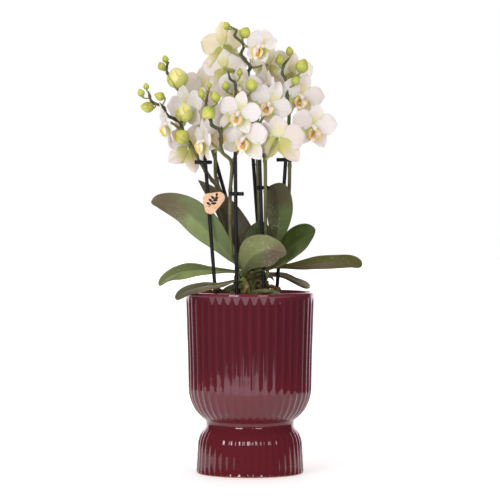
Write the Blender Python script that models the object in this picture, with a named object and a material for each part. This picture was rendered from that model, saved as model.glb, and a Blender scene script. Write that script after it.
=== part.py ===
"""Potted moth orchid: a small-flowered plant with several spikes on stakes, in its nursery pot,
standing inside a fluted, footed ceramic pot whose foot is a water reservoir fed to the roots by a wick.

Origin: centre of the pot's flat underside. +Z is up and -Y is the side that the flowers face.
All named values are in millimetres and are turned into metres where the meshes are made.
"""

import math

import bmesh
import bpy
import numpy as np
from mathutils import Matrix, Vector

MM = 0.001
GAP = 0.35  # clearance between pieces that touch or are pushed into each other

# Ceramic pot: (height, radius, share of the flute depth)
FLUTES = 45
FLUTE_DEPTH = 1.1
POT_OUTSIDE = [
    (0.0, 46.2, 0.6),
    (1.4, 48.0, 1.0),
    (12.0, 47.2, 1.0),
    (29.5, 46.2, 1.0),
    (36.0, 44.0, 1.0),
    (40.2, 41.2, 0.7),
    (42.6, 39.3, 0.0),
    (45.4, 38.9, 0.0),
    (47.4, 39.6, 0.0),
    (50.0, 43.0, 1.0),
    (54.5, 47.2, 1.0),
    (62.0, 51.8, 1.0),
    (72.0, 54.9, 1.0),
    (153.0, 57.0, 1.0),
    (156.6, 57.0, 0.0),
    (160.2, 56.8, 0.0),
    (161.5, 55.4, 0.0),
]
POT_INSIDE = [
    (160.4, 53.0),
    (76.0, 50.4),
    (63.0, 47.0),
    (55.6, 39.0),
    (55.6, 33.5),
    (42.0, 33.0),
    (36.0, 37.0),
    (28.0, 41.0),
    (9.0, 42.0),
    (6.0, 39.5),
]
FOOT_FACE_RADIUS = 43.0

# Nursery pot, nine centimetres across, standing on the ledge inside the ceramic pot
LEDGE_Z = 55.6
NURSERY_RIM_Z = 151.0
NURSERY_RIM_RADIUS = 45.0
NURSERY_BASE_RADIUS = 36.0
NURSERY_WALL = 1.0
WICK_HOLE_RADIUS = 5.6
BARK_TOP_Z = 155.0

# Stakes: top point and bottom point
STAKE_RADIUS = 1.65
STAKES = [
    ((-40.1, -10, 283.9), (-23.9, -10, 105)),
    ((-43.7, 26, 323.7), (18.0, 26, 105)),
    ((-13.0, -22, 285.5), (-11.2, -22, 105)),
    ((-1.2, 14, 337.9), (14.9, 14, 105)),
    ((8.1, -18, 289.0), (14.3, -18, 105)),
    ((33.4, 10, 283.0), (21.3, 10, 105)),
]

# Clips: stake number, height, direction of the arm in degrees seen from above, arm length
CLIPS = [
    (0, 276.5, 20, 8.0),
    (1, 291.0, 180, 6.5),
    (2, 248.6, 0, 8.0),
    (3, 327.0, 200, 6.0),
    (4, 254.0, 40, 7.0),
    (5, 279.0, 150, 8.0),
]
CLIP_RADIUS = 0.85

# Name tag: a rounded triangle of thin wood, clipped to the first stake
TAG_CENTRE = (-33.0, -13.2, 241.6)
TAG_CORNERS = [(-6.4, 5.6), (5.6, 6.2), (-2.4, -5.6)]
TAG_ROUND = 3.6
TAG_THICKNESS = 1.6

# Leaves: midrib points, half width, upper-side direction at the base and at the tip
LEAVES = {
    "leaf_left_upper": (
        [(-10, -1, 186), (-20.5, -2, 195), (-37.5, -1, 214.5), (-54.5, -2, 229.5),
         (-69, -4, 239.5), (-80, -7, 242.5), (-87.5, -9, 241.0)],
        15.0, (0.35, 0.75, 0.55), (0.15, 0.8, 0.55)),
    "leaf_back": (
        [(-5, 8.5, 190), (-9, 13, 212), (-16, 16, 230), (-25, 17, 243), (-36, 17, 254), (-47, 16, 261)],
        14.5, (0.2, 0.95, 0.1), (0.3, 0.9, 0.3)),
    "leaf_left_middle": (
        [(-10.5, 1, 178.5), (-25, 5, 181), (-40, 7, 183.5), (-53, 7, 184.5),
         (-66, 6, 182.0), (-75, 4, 175.5), (-80, 2, 167.0)],
        12.5, (0.0, -0.4, 0.92), (-0.75, -0.45, 0.5)),
    "leaf_left_lower": (
        [(-9, -9, 172), (-25.6, -22, 169.5), (-40, -30, 169.0), (-52, -33, 166.5),
         (-60, -34, 162.0), (-64, -34, 156.0)],
        10.5, (0.0, -0.4, 0.92), (-0.7, -0.45, 0.55)),
    "leaf_front": (
        [(-4, -10.5, 177), (-1, -22, 184), (6, -34, 192), (15, -43, 199.5), (24, -49, 203.5),
         (31.5, -52, 200.5)],
        16.0, (0.35, 0.75, 0.55), (0.5, 0.7, 0.5)),
    "leaf_centre": (
        [(0, -3, 193.5), (3.7, -5, 202), (7.3, -4.5, 216), (11.0, -3.5, 230.5)],
        14.0, (0.0, -1.0, 0.1), (0.0, -0.9, 0.4)),
    "leaf_right_upright": (
        [(10.5, 0, 189), (18, 1.5, 197), (24, 1.5, 208), (27.5, 0, 223.5), (27, -1.5, 238.5),
         (23, -3, 250), (16.5, -4, 259)],
        13.5, (-0.2, 0.95, 0.1), (0.1, 0.95, 0.2)),
    "leaf_right_upper": (
        [(8.5, -7.5, 181), (20, -12, 187), (31, -20, 196), (44, -27, 206.5), (52, -30, 213),
         (57.5, -31, 216.5)],
        12.0, (-0.2, -0.5, 0.85), (-0.45, -0.65, 0.6)),
    "leaf_right_middle": (
        [(10.5, 1, 180), (27, -2.5, 182.5), (45, -5, 185.5), (62.5, -6, 188.5), (80, -6, 190),
         (91, -6, 188.5), (99, -6, 183.5)],
        11.5, (0.0, 0.55, 0.83), (0.35, 0.6, 0.7)),
    "leaf_right_lower": (
        [(9, 7, 176.5), (23, 15.5, 177.5), (34, 19, 175.5), (45, 20, 171.5), (52.5, 20, 166.5)],
        6.5, (0.0, 0.6, 0.8), (0.3, 0.6, 0.75)),
    "leaf_small": (
        [(9.5, -4, 174), (15, -7, 175.5), (19, -8, 174.5), (21.5, -8.5, 171.5)],
        2.6, (0.0, -0.3, 0.95), (0.7, -0.3, 0.6)),
    "leaf_rear": (
        [(4.0, 17, 178), (7, 32, 186), (10, 52, 191), (13, 68, 187), (15, 78, 180)],
        12.5, (0.0, -0.4, 0.9), (0.0, 0.6, 0.8)),
}
LEAF_THICKNESS = 1.7
LEAF_FOLD = 0.22  # how far each half rises from the midrib, as a share of its width

# Spikes: stem points from the crown upwards
SPIKE_BASE_RADIUS = 1.35
SPIKE_TIP_RADIUS = 0.7
SPIKES = {
    1: [(-8.5, 6, 169), (-11.0, 8, 182), (-18.0, 8, 208), (-27.4, 4, 238.7), (-30.0, 0, 253),
        (-36.2, -4, 265.3), (-42.5, -5, 277.5), (-48.6, -7, 285.7), (-53.0, -8, 292.8),
        (-60.1, -8, 306.1), (-61.5, -9, 311.8), (-66.3, -9, 314.6), (-73.7, -10, 318.5),
        (-76.5, -10, 325.1), (-86.7, -10, 330.0), (-88.6, -10, 335.3), (-89.9, -10, 338.6)],
    2: [(-10.5, -8.0, 182), (-13.8, -15.0, 190), (-16.6, -20.5, 199.3), (-17.5, -21, 225.6),
        (-17.4, -19, 251.1), (-16.2, -17.5, 275.8), (-24.9, -23, 286.3), (-25.8, -27, 303.0),
        (-33.2, -28, 308.7), (-34.5, -28, 313.5), (-38.5, -28, 325.0), (-38.1, -28, 331.1),
        (-36.5, -28, 338.5)],
    3: [(9.5, -10.5, 168), (14.5, -15.5, 174), (15.4, -18, 184), (13.9, -17.8, 215.8), (13.6, -18, 251.1),
        (13.2, -20, 277.7), (10.8, -10, 286.5), (7.4, -7, 295), (1.9, -9, 313.9),
        (-8.7, -10, 324.5), (-12.6, -9, 334.3), (-13.1, -9, 345.8), (-17.5, -9, 350.2), (-19.2, -9, 356.5)],
    4: [(8.0, 8.8, 181), (9.8, 9.5, 194), (10.2, 9.0, 223.5), (8.6, 9, 274.4), (6.0, 10, 300),
        (1.6, 10, 332.4), (-1.9, 8, 354.8), (0.2, 5, 361.9), (-7.9, 4, 371.7), (-5.5, 3, 380.9),
        (-13.6, 3, 388.9), (-12.0, 3, 393.6), (-17.0, 3, 397.0)],
    5: [(9.5, 6.5, 184), (17, 11.5, 194), (30, 14.5, 214), (34.5, 13.5, 243.1), (35.5, 12.5, 274.3),
        (35.3, 9, 296.6), (34.5, 5, 308.2), (34.7, 2, 320.3), (32.9, 2, 336.8), (33.2, 2, 343.9),
        (31.4, 2, 351.1), (28.7, 2, 355.5), (29.9, 2, 362.7), (34.7, 2, 369.0)],
    6: [(-4.0, 10.5, 172), (-9, 20, 200), (-20, 21, 236), (-30.2, 20, 261.0), (-31.5, 21, 286.0),
        (-36, 19, 294), (-43, 23.5, 306), (-51, 36, 322), (-58, 38, 334), (-66.5, 33, 344.5),
        (-74.0, 24, 356.5), (-74.4, 18, 362.3), (-73.0, 16, 366.0)],
}

# Buds: spike, centre, length, width, the way the tip points
BUDS = [
    (1, (-91.9, -10, 343.7), 6.4, 5.3, (-0.2, 0.0, 1.0)),
    (1, (-96.4, -12, 337.9), 8.0, 6.4, (-0.4, -0.1, 1.0)),
    (1, (-79.9, -12, 334.8), 9.8, 8.0, (-1.0, -0.2, 0.3)),
    (1, (-90.6, -16, 325.0), 12.5, 10.0, (-1.0, -0.2, 0.1)),
    (1, (-60.3, -19, 298.8), 15.0, 13.6, (-0.7, -0.3, 0.6)),
    (1, (-58.1, -16, 320.6), 16.5, 14.2, (0.1, -0.3, 1.0)),
    (6, (-75.8, 16, 369.1), 7.1, 6.2, (-0.3, 0.0, 1.0)),
    (6, (-79.0, 13, 362.6), 8.6, 7.1, (-0.5, -0.2, 0.9)),
    (6, (-65.0, 9, 352.5), 18.5, 17.0, (-0.2, -0.4, 0.9)),
    (2, (-35.6, -28, 343.9), 6.2, 4.6, (0.1, 0.0, 1.0)),
    (2, (-42.6, -29, 336.6), 8.9, 6.2, (-0.1, -0.1, 1.0)),
    (2, (-30.4, -30, 333.5), 10.7, 8.9, (-0.3, -0.2, 1.0)),
    (2, (-36.5, -35, 319.7), 13.5, 12.0, (-0.6, -0.3, -0.5)),
    (3, (-9.0, -12, 356.2), 7.6, 5.8, (0.0, -0.1, 1.0)),
    (3, (-21.5, -11, 343.7), 9.3, 7.4, (-0.2, -0.1, 1.0)),
    (3, (1.4, -17, 344.6), 12.2, 11.4, (0.1, -0.4, 1.0)),
    (4, (-21.2, 2, 398.0), 8.0, 7.1, (-0.6, -0.1, 0.9)),
    (4, (-4.3, 1, 391.8), 10.9, 10.4, (0.5, -0.2, 0.9)),
    (5, (35.2, 2, 375.2), 9.3, 6.9, (-0.1, 0.0, 1.0)),
    (5, (26.6, -1, 367.7), 11.1, 8.7, (0.1, -0.2, 1.0)),
    (5, (46.5, -2, 362.0), 13.8, 11.6, (0.35, -0.2, 1.0)),
    (5, (40.5, -3, 348.9), 8.6, 7.4, (0.3, -0.4, 0.8)),
]

# Flowers: spike, centre, turn from the front in degrees (to +X), tilt upwards, roll, size,
# and the height at which the stalk leaves the stem
FLOWERS = {
    "flower_01": (4, (-24.7, 0, 379.5), -145, 25, -10, 0.90, 371),
    "flower_02": (4, (-22.2, 18, 359.5), 172, 5, 0, 0.92, 357),
    "flower_03": (4, (6.4, -11, 376.0), -35, 12, -18, 0.95, 381),
    "flower_04": (4, (16.3, 15, 364.0), 148, 0, 0, 0.95, 362),
    "flower_05": (5, (15.6, 3, 347.0), -70, -8, 0, 0.85, 338),
    "flower_06": (5, (44.7, -2, 336.1), 20, -5, -18, 0.93, 320),
    "flower_07": (5, (57.0, -3, 307.5), 14, -10, -10, 1.0, 300),
    "flower_08": (5, (38.0, 28, 357.0), 165, 10, 0, 0.9, 344),
    "flower_09": (3, (17.0, -19, 327.8), 6, 8, -30, 0.96, 305),
    "flower_10": (3, (25.1, -34, 297.1), 154, 6, -5, 1.12, 277.7),
    "flower_11": (2, (-10.1, -30, 320.0), -6, -3, -15, 0.88, 303),
    "flower_12": (2, (-5.0, -19, 299.5), -16, -12, -5, 0.99, 276),
    "flower_13": (2, (-41.5, -30, 294.0), -68, -6, 0, 1.0, 286),
    "flower_14": (1, (-71.5, -17, 311.0), -78, -18, 0, 0.9, 305),
    "flower_15": (1, (-55.0, -1, 286.5), -138, -14, 0, 1.0, 285),
    "flower_16": (6, (-57.0, 1, 325.0), -15, 4, 16, 1.0, 334),
    "flower_17": (6, (-42.5, 32, 343.0), 12, 2, -5, 1.0, 322),
    "flower_18": (4, (-9.0, -1, 342.0), 4, 2, -6, 0.95, 322),
    "flower_19": (6, (-25.0, -8, 304.5), -14, 0, 0, 0.92, 286),
    "flower_20": (6, (-37.0, 12, 316.0), -8, -6, 0, 0.95, 294),
    "flower_21": (4, (10.0, 36, 330.0), 168, 5, 0, 0.95, 300),
}
# Tepals: direction round the flower from straight up, length, half width
TEPALS = [(0, 20.0, 6.9), (74, 21.0, 9.6), (-74, 21.0, 9.6), (142, 20.0, 7.0), (-142, 20.0, 7.0)]
FLOWER_THICKNESS = 1.2
FLOWER_CUP = 4.0
LIP_HEIGHT = 6.5


def clear_scene():
    for obj in list(bpy.data.objects):
        bpy.data.objects.remove(obj)


def material(name, colour, roughness, metallic=0.0):
    made = bpy.data.materials.get(name) or bpy.data.materials.new(name)
    made.use_nodes = True
    shader = made.node_tree.nodes["Principled BSDF"]
    shader.inputs["Base Color"].default_value = (*colour, 1.0)
    shader.inputs["Roughness"].default_value = roughness
    shader.inputs["Metallic"].default_value = metallic
    return made


def add_object(name, points, faces, surface, helper_in=None):
    """A mesh object from points in millimetres; a helper is only an input to a Boolean."""
    mesh = bpy.data.meshes.new(name)
    mesh.from_pydata([Vector(p) * MM for p in points], [], faces)
    mesh.validate()
    work = bmesh.new()
    work.from_mesh(mesh)
    bmesh.ops.recalc_face_normals(work, faces=work.faces)
    work.to_mesh(mesh)
    work.free()
    mesh.materials.append(surface)
    mesh.shade_smooth()
    mesh.set_sharp_from_angle(angle=math.radians(50))
    obj = bpy.data.objects.new(name, mesh)
    (helper_in or bpy.context.scene.collection).objects.link(obj)
    if helper_in:
        obj.hide_render = True
        obj.display_type = "WIRE"
    return obj


def helper_collection(name):
    made = bpy.data.collections.new(name)
    bpy.context.scene.collection.children.link(made)
    return made


def boolean(obj, operation, others):
    cut = obj.modifiers.new(operation.lower(), "BOOLEAN")
    cut.operation = operation
    cut.operand_type = "COLLECTION"
    cut.collection = others
    cut.solver = "EXACT"


def bridge(faces, lower, upper):
    """Faces between two rings of point numbers; the upper may have half as many as the lower."""
    count = len(lower)
    if len(upper) == count:
        for i in range(count):
            j = (i + 1) % count
            faces.append((lower[i], lower[j], upper[j], upper[i]))
        return
    for i in range(len(upper)):
        j = (i + 1) % len(upper)
        middle = (2 * i + 1) % count
        faces.append((lower[2 * i], lower[middle], upper[i]))
        faces.append((lower[middle], lower[(2 * i + 2) % count], upper[j], upper[i]))


def loft(rings, start_cap=True, end_cap=True):
    """Points and faces of a skin over rings that all have the same number of points."""
    points = [p for ring in rings for p in ring]
    count = len(rings[0])
    numbers = [list(range(k * count, (k + 1) * count)) for k in range(len(rings))]
    faces = []
    for lower, upper in zip(numbers, numbers[1:]):
        bridge(faces, lower, upper)
    if start_cap:
        faces.append(tuple(reversed(numbers[0])))
    if end_cap:
        faces.append(tuple(numbers[-1]))
    return points, faces


def smooth_path(points, count):
    """Points evenly spaced along a Catmull-Rom curve through the given ones."""
    given = [np.array(p, float) for p in points]
    given = [2 * given[0] - given[1]] + given + [2 * given[-1] - given[-2]]
    dense = []
    for a, b, c, d in zip(given, given[1:], given[2:], given[3:]):
        for t in np.linspace(0, 1, 12, endpoint=False):
            dense.append(0.5 * (2 * b + (c - a) * t + (2 * a - 5 * b + 4 * c - d) * t**2
                                + (3 * b - a - 3 * c + d) * t**3))
    dense = np.array(dense + [given[-2]])
    walked = np.concatenate([[0], np.cumsum(np.linalg.norm(np.diff(dense, axis=0), axis=1))])
    wanted = np.linspace(0, walked[-1], count)
    return np.column_stack([np.interp(wanted, walked, dense[:, k]) for k in range(3)])


def tube_rings(path, radii, sides):
    """Rings round a path, without twist."""
    path = np.array(path, float)
    radii = np.broadcast_to(radii, len(path))
    tangents = np.gradient(path, axis=0)
    tangents /= np.linalg.norm(tangents, axis=1)[:, None]
    side = Vector(tangents[0]).orthogonal().normalized()
    rings = []
    for point, tangent, radius in zip(path, tangents, radii):
        tangent = Vector(tangent)
        side = (side - tangent * side.dot(tangent)).normalized()
        other = tangent.cross(side)
        rings.append([
            Vector(point) + (side * math.cos(a) + other * math.sin(a)) * float(radius)
            for a in np.linspace(0, 2 * math.pi, sides, endpoint=False)
        ])
    return rings


def tube(name, path, radii, sides, surface, helper_in=None):
    points, faces = loft(tube_rings(path, radii, sides))
    return add_object(name, points, faces, surface, helper_in)


def turned(name, profile, sides, surface, helper_in=None):
    """A closed solid of revolution; the profile runs from the bottom to the top, as (height, radius)."""
    angles = np.linspace(0, 2 * math.pi, sides, endpoint=False)
    rings = [[Vector((r * math.cos(a), r * math.sin(a), z)) for a in angles] for z, r in profile]
    points, faces = loft(rings)
    return add_object(name, points, faces, surface, helper_in)


# ---------------------------------------------------------------- pot, nursery pot, bark and wick


def decorative_pot():
    columns = 2 * FLUTES
    outer = np.arange(columns) * 2 * math.pi / columns
    inner = outer[::2]
    points = [Vector((0, 0, 0))]
    rings = []

    def ring(z, radii, angles):
        start = len(points)
        points.extend(Vector((r * math.cos(a), r * math.sin(a), z)) for r, a in zip(radii, angles))
        rings.append(list(range(start, len(points))))

    grooves = np.arange(columns) % 2
    ring(0.0, [FOOT_FACE_RADIUS] * columns, outer)
    for z, radius, share in POT_OUTSIDE:
        ring(z, radius - FLUTE_DEPTH * share * grooves, outer)
    for z, radius in POT_INSIDE:
        ring(z, [radius] * FLUTES, inner)
    points.append(Vector((0, 0, POT_INSIDE[-1][0])))
    faces = []
    for lower, upper in zip(rings, rings[1:]):
        bridge(faces, lower, upper)
    for first, last, centre in ((rings[0], None, 0), (rings[-1], None, len(points) - 1)):
        for i in range(len(first)):
            faces.append((first[(i + 1) % len(first)], first[i], centre))
    glaze = material("burgundy_glaze", (0.16, 0.018, 0.035), 0.12)
    return add_object("decorative_pot", points, faces, glaze)


def nursery_pot():
    """A thin tapered cup with a rolled rim and one hole in its base for the wick."""
    base = LEDGE_Z + GAP
    wall = NURSERY_WALL
    profile = [
        (base, WICK_HOLE_RADIUS),
        (base, NURSERY_BASE_RADIUS),
        (NURSERY_RIM_Z - 3, NURSERY_RIM_RADIUS - 1.2),
        (NURSERY_RIM_Z - 3, NURSERY_RIM_RADIUS),
        (NURSERY_RIM_Z, NURSERY_RIM_RADIUS),
        (NURSERY_RIM_Z, NURSERY_RIM_RADIUS - 1.2 - wall),
        (base + wall, NURSERY_BASE_RADIUS - wall),
        (base + wall, WICK_HOLE_RADIUS),
    ]
    sides = 32
    angles = np.linspace(0, 2 * math.pi, sides, endpoint=False)
    rings = [[Vector((r * math.cos(a), r * math.sin(a), z)) for a in angles] for z, r in profile]
    points, faces = loft(rings + [rings[0]], start_cap=False, end_cap=False)
    count = len(points) - sides
    faces = [tuple(n if n < count else n - count for n in face) for face in faces]
    clear_plastic = material("clear_plastic", (0.62, 0.64, 0.6), 0.25)
    return add_object("nursery_pot", points[:count], faces, clear_plastic)


def bark_mix():
    """The root ball: bark filling the nursery pot, bored for the stakes, the crown and the wick."""
    base = LEDGE_Z + GAP + NURSERY_WALL + GAP
    slope = (NURSERY_RIM_RADIUS - NURSERY_BASE_RADIUS - 1.2) / (NURSERY_RIM_Z - 3 - LEDGE_Z)

    def radius_at(z):
        return NURSERY_BASE_RADIUS - NURSERY_WALL - 0.5 + slope * (z - base)

    profile = [
        (base, radius_at(base)),
        (146.0, radius_at(146.0)),
        (150.5, 38.0),
        (153.5, 29.0),
        (BARK_TOP_Z, 17.0),
    ]
    bark = material("orchid_bark", (0.2, 0.1, 0.045), 0.9)
    root_ball = turned("bark_mix", profile, 28, bark)
    bores = helper_collection("bark_bores")
    for number, (top, bottom) in enumerate(STAKES):
        low = Vector(bottom) + (Vector(bottom) - Vector(top)).normalized() * GAP
        tube(f"bore_{number}", [low, Vector(top)], STAKE_RADIUS + GAP, 8, bark, bores)
    turned("bore_crown", [(140.0, 8.6), (170.0, 8.6)], 16, bark, bores)
    turned("bore_wick", [(40.0, 6.6), (86.0, 6.6)], 12, bark, bores)
    boolean(root_ball, "DIFFERENCE", bores)
    return root_ball


def wick():
    """A rope folded over a plastic pin; both ends hang from the base hole into the reservoir."""
    rope_radius, half_spread = 1.8, 3.0
    top, bottom = 80.0, 7.5
    turn = np.linspace(0, math.pi, 9)
    bend = [(half_spread * math.cos(a), 0, top + half_spread * math.sin(a)) for a in turn]
    legs = np.linspace(bottom, top, 8)[:-1]
    right = [(half_spread, 0, z) for z in legs]
    left = [(-half_spread, 0, z) for z in reversed(legs)]
    cotton = material("wick_cotton", (0.75, 0.7, 0.6), 0.9)
    tube("water_wick", right + bend + left, rope_radius, 8, cotton)
    pin_plastic = material("black_plastic", (0.012, 0.011, 0.013), 0.35)
    pin = [(54.9, 0.7), (70.0, 0.75), (79.0, 0.6)]
    turned("wick_pin", pin, 8, pin_plastic)


# ---------------------------------------------------------------- stakes, clips and tag


def stake_point(number, z):
    top, bottom = (Vector(p) for p in STAKES[number])
    return bottom.lerp(top, (z - bottom.z) / (top.z - bottom.z))


def stakes_and_clips():
    black = material("black_plastic", (0.012, 0.011, 0.013), 0.35)
    for number, (top, bottom) in enumerate(STAKES, 1):
        tube(f"stake_{number}", [bottom, top], STAKE_RADIUS, 10, black)
    for number, (stake, z, heading, arm) in enumerate(CLIPS, 1):
        centre = stake_point(stake, z)
        round_it = STAKE_RADIUS + GAP + CLIP_RADIUS
        start = math.radians(heading)
        path = []
        for a in np.linspace(start + math.radians(200), start + math.radians(30), 9):
            path.append(centre + Vector((math.cos(a), math.sin(a), 0)) * round_it)
        out = Vector((math.cos(start), math.sin(start), 0))
        path += [path[-1] + out * arm * 0.5, path[-1] + out * arm]
        radii = [CLIP_RADIUS] * (len(path) - 1) + [CLIP_RADIUS * 1.25]
        tube(f"clip_{number}", path, radii, 6, black)


def name_tag():
    """A thin rounded triangle: three corners, each an arc."""
    corners = [Vector((x, 0, z)) for x, z in TAG_CORNERS]
    middle = sum(corners, Vector()) / 3
    outline = []
    for k, corner in enumerate(corners):
        before, after = corners[k - 1], corners[(k + 1) % 3]
        first = math.atan2((corner - before).x, -(corner - before).z)
        last = math.atan2((after - corner).x, -(after - corner).z)
        while last > first:
            last -= 2 * math.pi
        for a in np.linspace(first, last, 7):
            outline.append(corner + Vector((math.cos(a), 0, math.sin(a))) * TAG_ROUND - middle)
    centre = Vector(TAG_CENTRE)
    half = Vector((0, TAG_THICKNESS / 2, 0))
    rings = [[centre + p - half for p in outline], [centre + p + half for p in outline]]
    points, faces = loft(rings)
    add_object("name_tag", points, faces, material("tag_wood", (0.8, 0.52, 0.3), 0.6))


# ---------------------------------------------------------------- crown, roots and leaves


def crown_and_roots():
    sheath = material("crown_sheath", (0.3, 0.33, 0.06), 0.45)
    turned("plant_crown", [(143.0, 4.0), (150.0, 6.8), (165.0, 7.6), (180.0, 7.0), (192.0, 4.6)], 12, sheath)
    root = material("aerial_root", (0.3, 0.36, 0.25), 0.55)
    paths = {
        "aerial_root_left": [(-9.5, -9.5, 166), (-18, -14, 164.5), (-26, -17, 160), (-30, -18, 157.5)],
        "aerial_root_right": [(4.0, -12.5, 161.5), (10, -25, 163), (20, -28.5, 162.5), (28, -27, 159)],
    }
    for name, points in paths.items():
        path = smooth_path(points, 9)
        tube(name, path, [1.8, 2.1, 2.2, 2.2, 2.2, 2.1, 2.0, 1.6, 0.8], 7, root)


def leaf_width(t):
    """Share of the half width at t from base to tip: a narrow foot, widest past the middle, a blunt tip."""
    rise = min(1.0, t / 0.5)
    foot = 0.3 + 0.7 * rise * rise * (3 - 2 * rise)
    if t <= 0.6:
        return foot
    return foot * math.sqrt(max(0.0, 1 - ((t - 0.6) / 0.405) ** 2.4))


def leaf(name, midrib, half_width, base_up, tip_up, surface):
    stations = 10
    path = smooth_path(midrib, stations)
    tangents = np.gradient(path, axis=0)
    rings = []
    for k in range(stations):
        t = k / (stations - 1)
        along = Vector(tangents[k]).normalized()
        up = Vector(base_up).lerp(Vector(tip_up), t)
        up = (up - along * up.dot(along)).normalized()
        across = along.cross(up)
        width = half_width * leaf_width(t)
        thick = LEAF_THICKNESS * (1 - 0.45 * t) / 2
        top, bottom = [], []
        for s in (-1.0, -0.5, 0.0, 0.5, 1.0):
            rise = LEAF_FOLD * width * abs(s)
            edge = thick * (1 - 0.55 * s * s)
            foot = Vector(path[k]) + across * (s * width) + up * rise
            top.append(foot + up * edge)
            bottom.append(foot - up * edge)
        rings.append(top + bottom[::-1])
    points, faces = loft(rings)
    return add_object(name, points, faces, surface)


def leaves():
    green = material("leaf_green", (0.11, 0.17, 0.035), 0.4)
    for name, (midrib, half_width, base_up, tip_up) in LEAVES.items():
        leaf(name, midrib, half_width, base_up, tip_up, green)


# ---------------------------------------------------------------- flowers, buds and spikes


def facing_matrix(turn, tilt, roll):
    """Local +Z is the way the flower faces and local +Y is its upper tepal."""
    turn, tilt, roll = (math.radians(a) for a in (turn, tilt, roll))
    out = Vector((math.sin(turn) * math.cos(tilt), -math.cos(turn) * math.cos(tilt), math.sin(tilt)))
    right = Vector((math.cos(turn), math.sin(turn), 0))
    up = out.cross(right)
    basis = Matrix((right, up, out)).transposed()
    return basis @ Matrix.Rotation(roll, 3, "Z")


def outline_radius(angle):
    """Distance from the flower's centre to its edge, at this angle from straight up."""
    best = 6.5
    for direction, length, half_width in TEPALS:
        off = math.remainder(angle - math.radians(direction), 2 * math.pi)
        if abs(off) > math.pi / 2:
            continue
        middle, reach = length * 0.56, length * 0.44
        c, s = math.cos(off) / reach, math.sin(off) / half_width
        a, b = c * c + s * s, -2 * middle / reach * c
        under = b * b - 4 * a * ((middle / reach) ** 2 - 1)
        if under > 0:
            best = max(best, (-b + math.sqrt(under)) / (2 * a))
    return best


def flower(name, centre, turn, tilt, roll, size, surface):
    turned_by = facing_matrix(turn, tilt, roll)
    centre = Vector(centre)
    angles = np.linspace(0, 2 * math.pi, 20, endpoint=False)
    front, back = [], []
    for share in (0.42, 1.0):
        for lift, rings in ((FLOWER_THICKNESS / 2, front), (-FLOWER_THICKNESS / 2, back)):
            ring = []
            for a in angles:
                r = outline_radius(a) * share * size
                height = FLOWER_CUP * size * share * share + lift
                ring.append(centre + turned_by @ Vector((-math.sin(a) * r, math.cos(a) * r, height)))
            rings.append(ring)
    points, faces = loft([back[0], back[1], front[1], front[0]], start_cap=False, end_cap=False)
    count = len(angles)
    for first, height in ((0, -FLOWER_THICKNESS), (3 * count, LIP_HEIGHT * size)):
        points.append(centre + turned_by @ Vector((0, -1.5 * size, height)))
        for i in range(count):
            faces.append((first + i, first + (i + 1) % count, len(points) - 1))
    return add_object(name, points, faces, surface)


def flowers():
    cream = material("tepal_cream", (0.86, 0.83, 0.74), 0.5)
    for name, (_, centre, turn, tilt, roll, size, _) in FLOWERS.items():
        flower(name, centre, turn, tilt, roll, size, cream)


def bud(name, centre, length, width, direction, surface, helper_in):
    axis = Vector(direction).normalized()
    profile = [(-0.5, 0.18), (-0.36, 0.68), (-0.05, 1.0), (0.26, 0.82), (0.5, 0.2)]
    path = [Vector(centre) + axis * (s * length) for s, _ in profile]
    radii = [share * width / 2 for _, share in profile]
    return tube(name, path, radii, 6, surface, helper_in)


def stalk_path(start, end, arrival):
    """A small stalk that leaves the stem sideways and arrives along the given direction."""
    start, end, arrival = Vector(start), Vector(end), Vector(arrival).normalized()
    reach = (end - start).length
    leave = start + (end - start) * 0.3 + Vector((0, 0, -0.12 * reach))
    arrive = end - arrival * reach * 0.35
    path = []
    for t in np.linspace(0, 1, 5):
        path.append(start * (1 - t) ** 3 + leave * 3 * t * (1 - t) ** 2
                    + arrive * 3 * t * t * (1 - t) + end * t**3)
    return path


def nearest(path, point):
    return path[int(np.argmin(np.linalg.norm(path - np.array(point), axis=1)))]


def spikes():
    """Each spike is one solid: its stem, the stalks of its flowers, and its buds on their stalks."""
    stem_green = material("spike_green", (0.12, 0.15, 0.035), 0.45)
    for number, points in SPIKES.items():
        path = smooth_path(points, 2 * len(points) + 1)
        radii = np.linspace(SPIKE_BASE_RADIUS, SPIKE_TIP_RADIUS, len(path))
        stem = tube(f"spike_{number}", path, radii, 6, stem_green)
        shoots = helper_collection(f"spike_{number}_shoots")
        for name, (spike, centre, turn, tilt, roll, _, height) in FLOWERS.items():
            if spike != number:
                continue
            out = facing_matrix(turn, tilt, roll) @ Vector((0, 0, 1))
            end = Vector(centre) - out * (FLOWER_THICKNESS + 0.8)
            start = path[int(np.argmin(abs(path[:, 2] - height)))]
            tube(f"stalk_of_{name}", stalk_path(start, end, out), 0.85, 5, stem_green, shoots)
        for k, (spike, centre, length, width, direction) in enumerate(BUDS):
            if spike != number:
                continue
            bud(f"bud_{k}", centre, length, width, direction, stem_green, shoots)
            axis = Vector(direction).normalized()
            end = Vector(centre) - axis * length * 0.4
            start = nearest(path, end - Vector((0, 0, 3)))
            tube(f"stalk_of_bud_{k}", stalk_path(start, end, axis), 0.65, 5, stem_green, shoots)
        boolean(stem, "UNION", shoots)


clear_scene()
decorative_pot()
nursery_pot()
bark_mix()
wick()
stakes_and_clips()
name_tag()
crown_and_roots()
leaves()
flowers()
spikes()
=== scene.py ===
"""Looks of the potted moth orchid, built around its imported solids.

Named lengths and tables are in millimetres and are turned into metres where the meshes are made; only
the studio's are in metres.
The plant faces -Y. Each piece is a mesh of its own and rides on the one body, "root".
"""

import math
import random

import bmesh
import bpy
import numpy as np
from mathutils import Matrix, Vector


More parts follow.
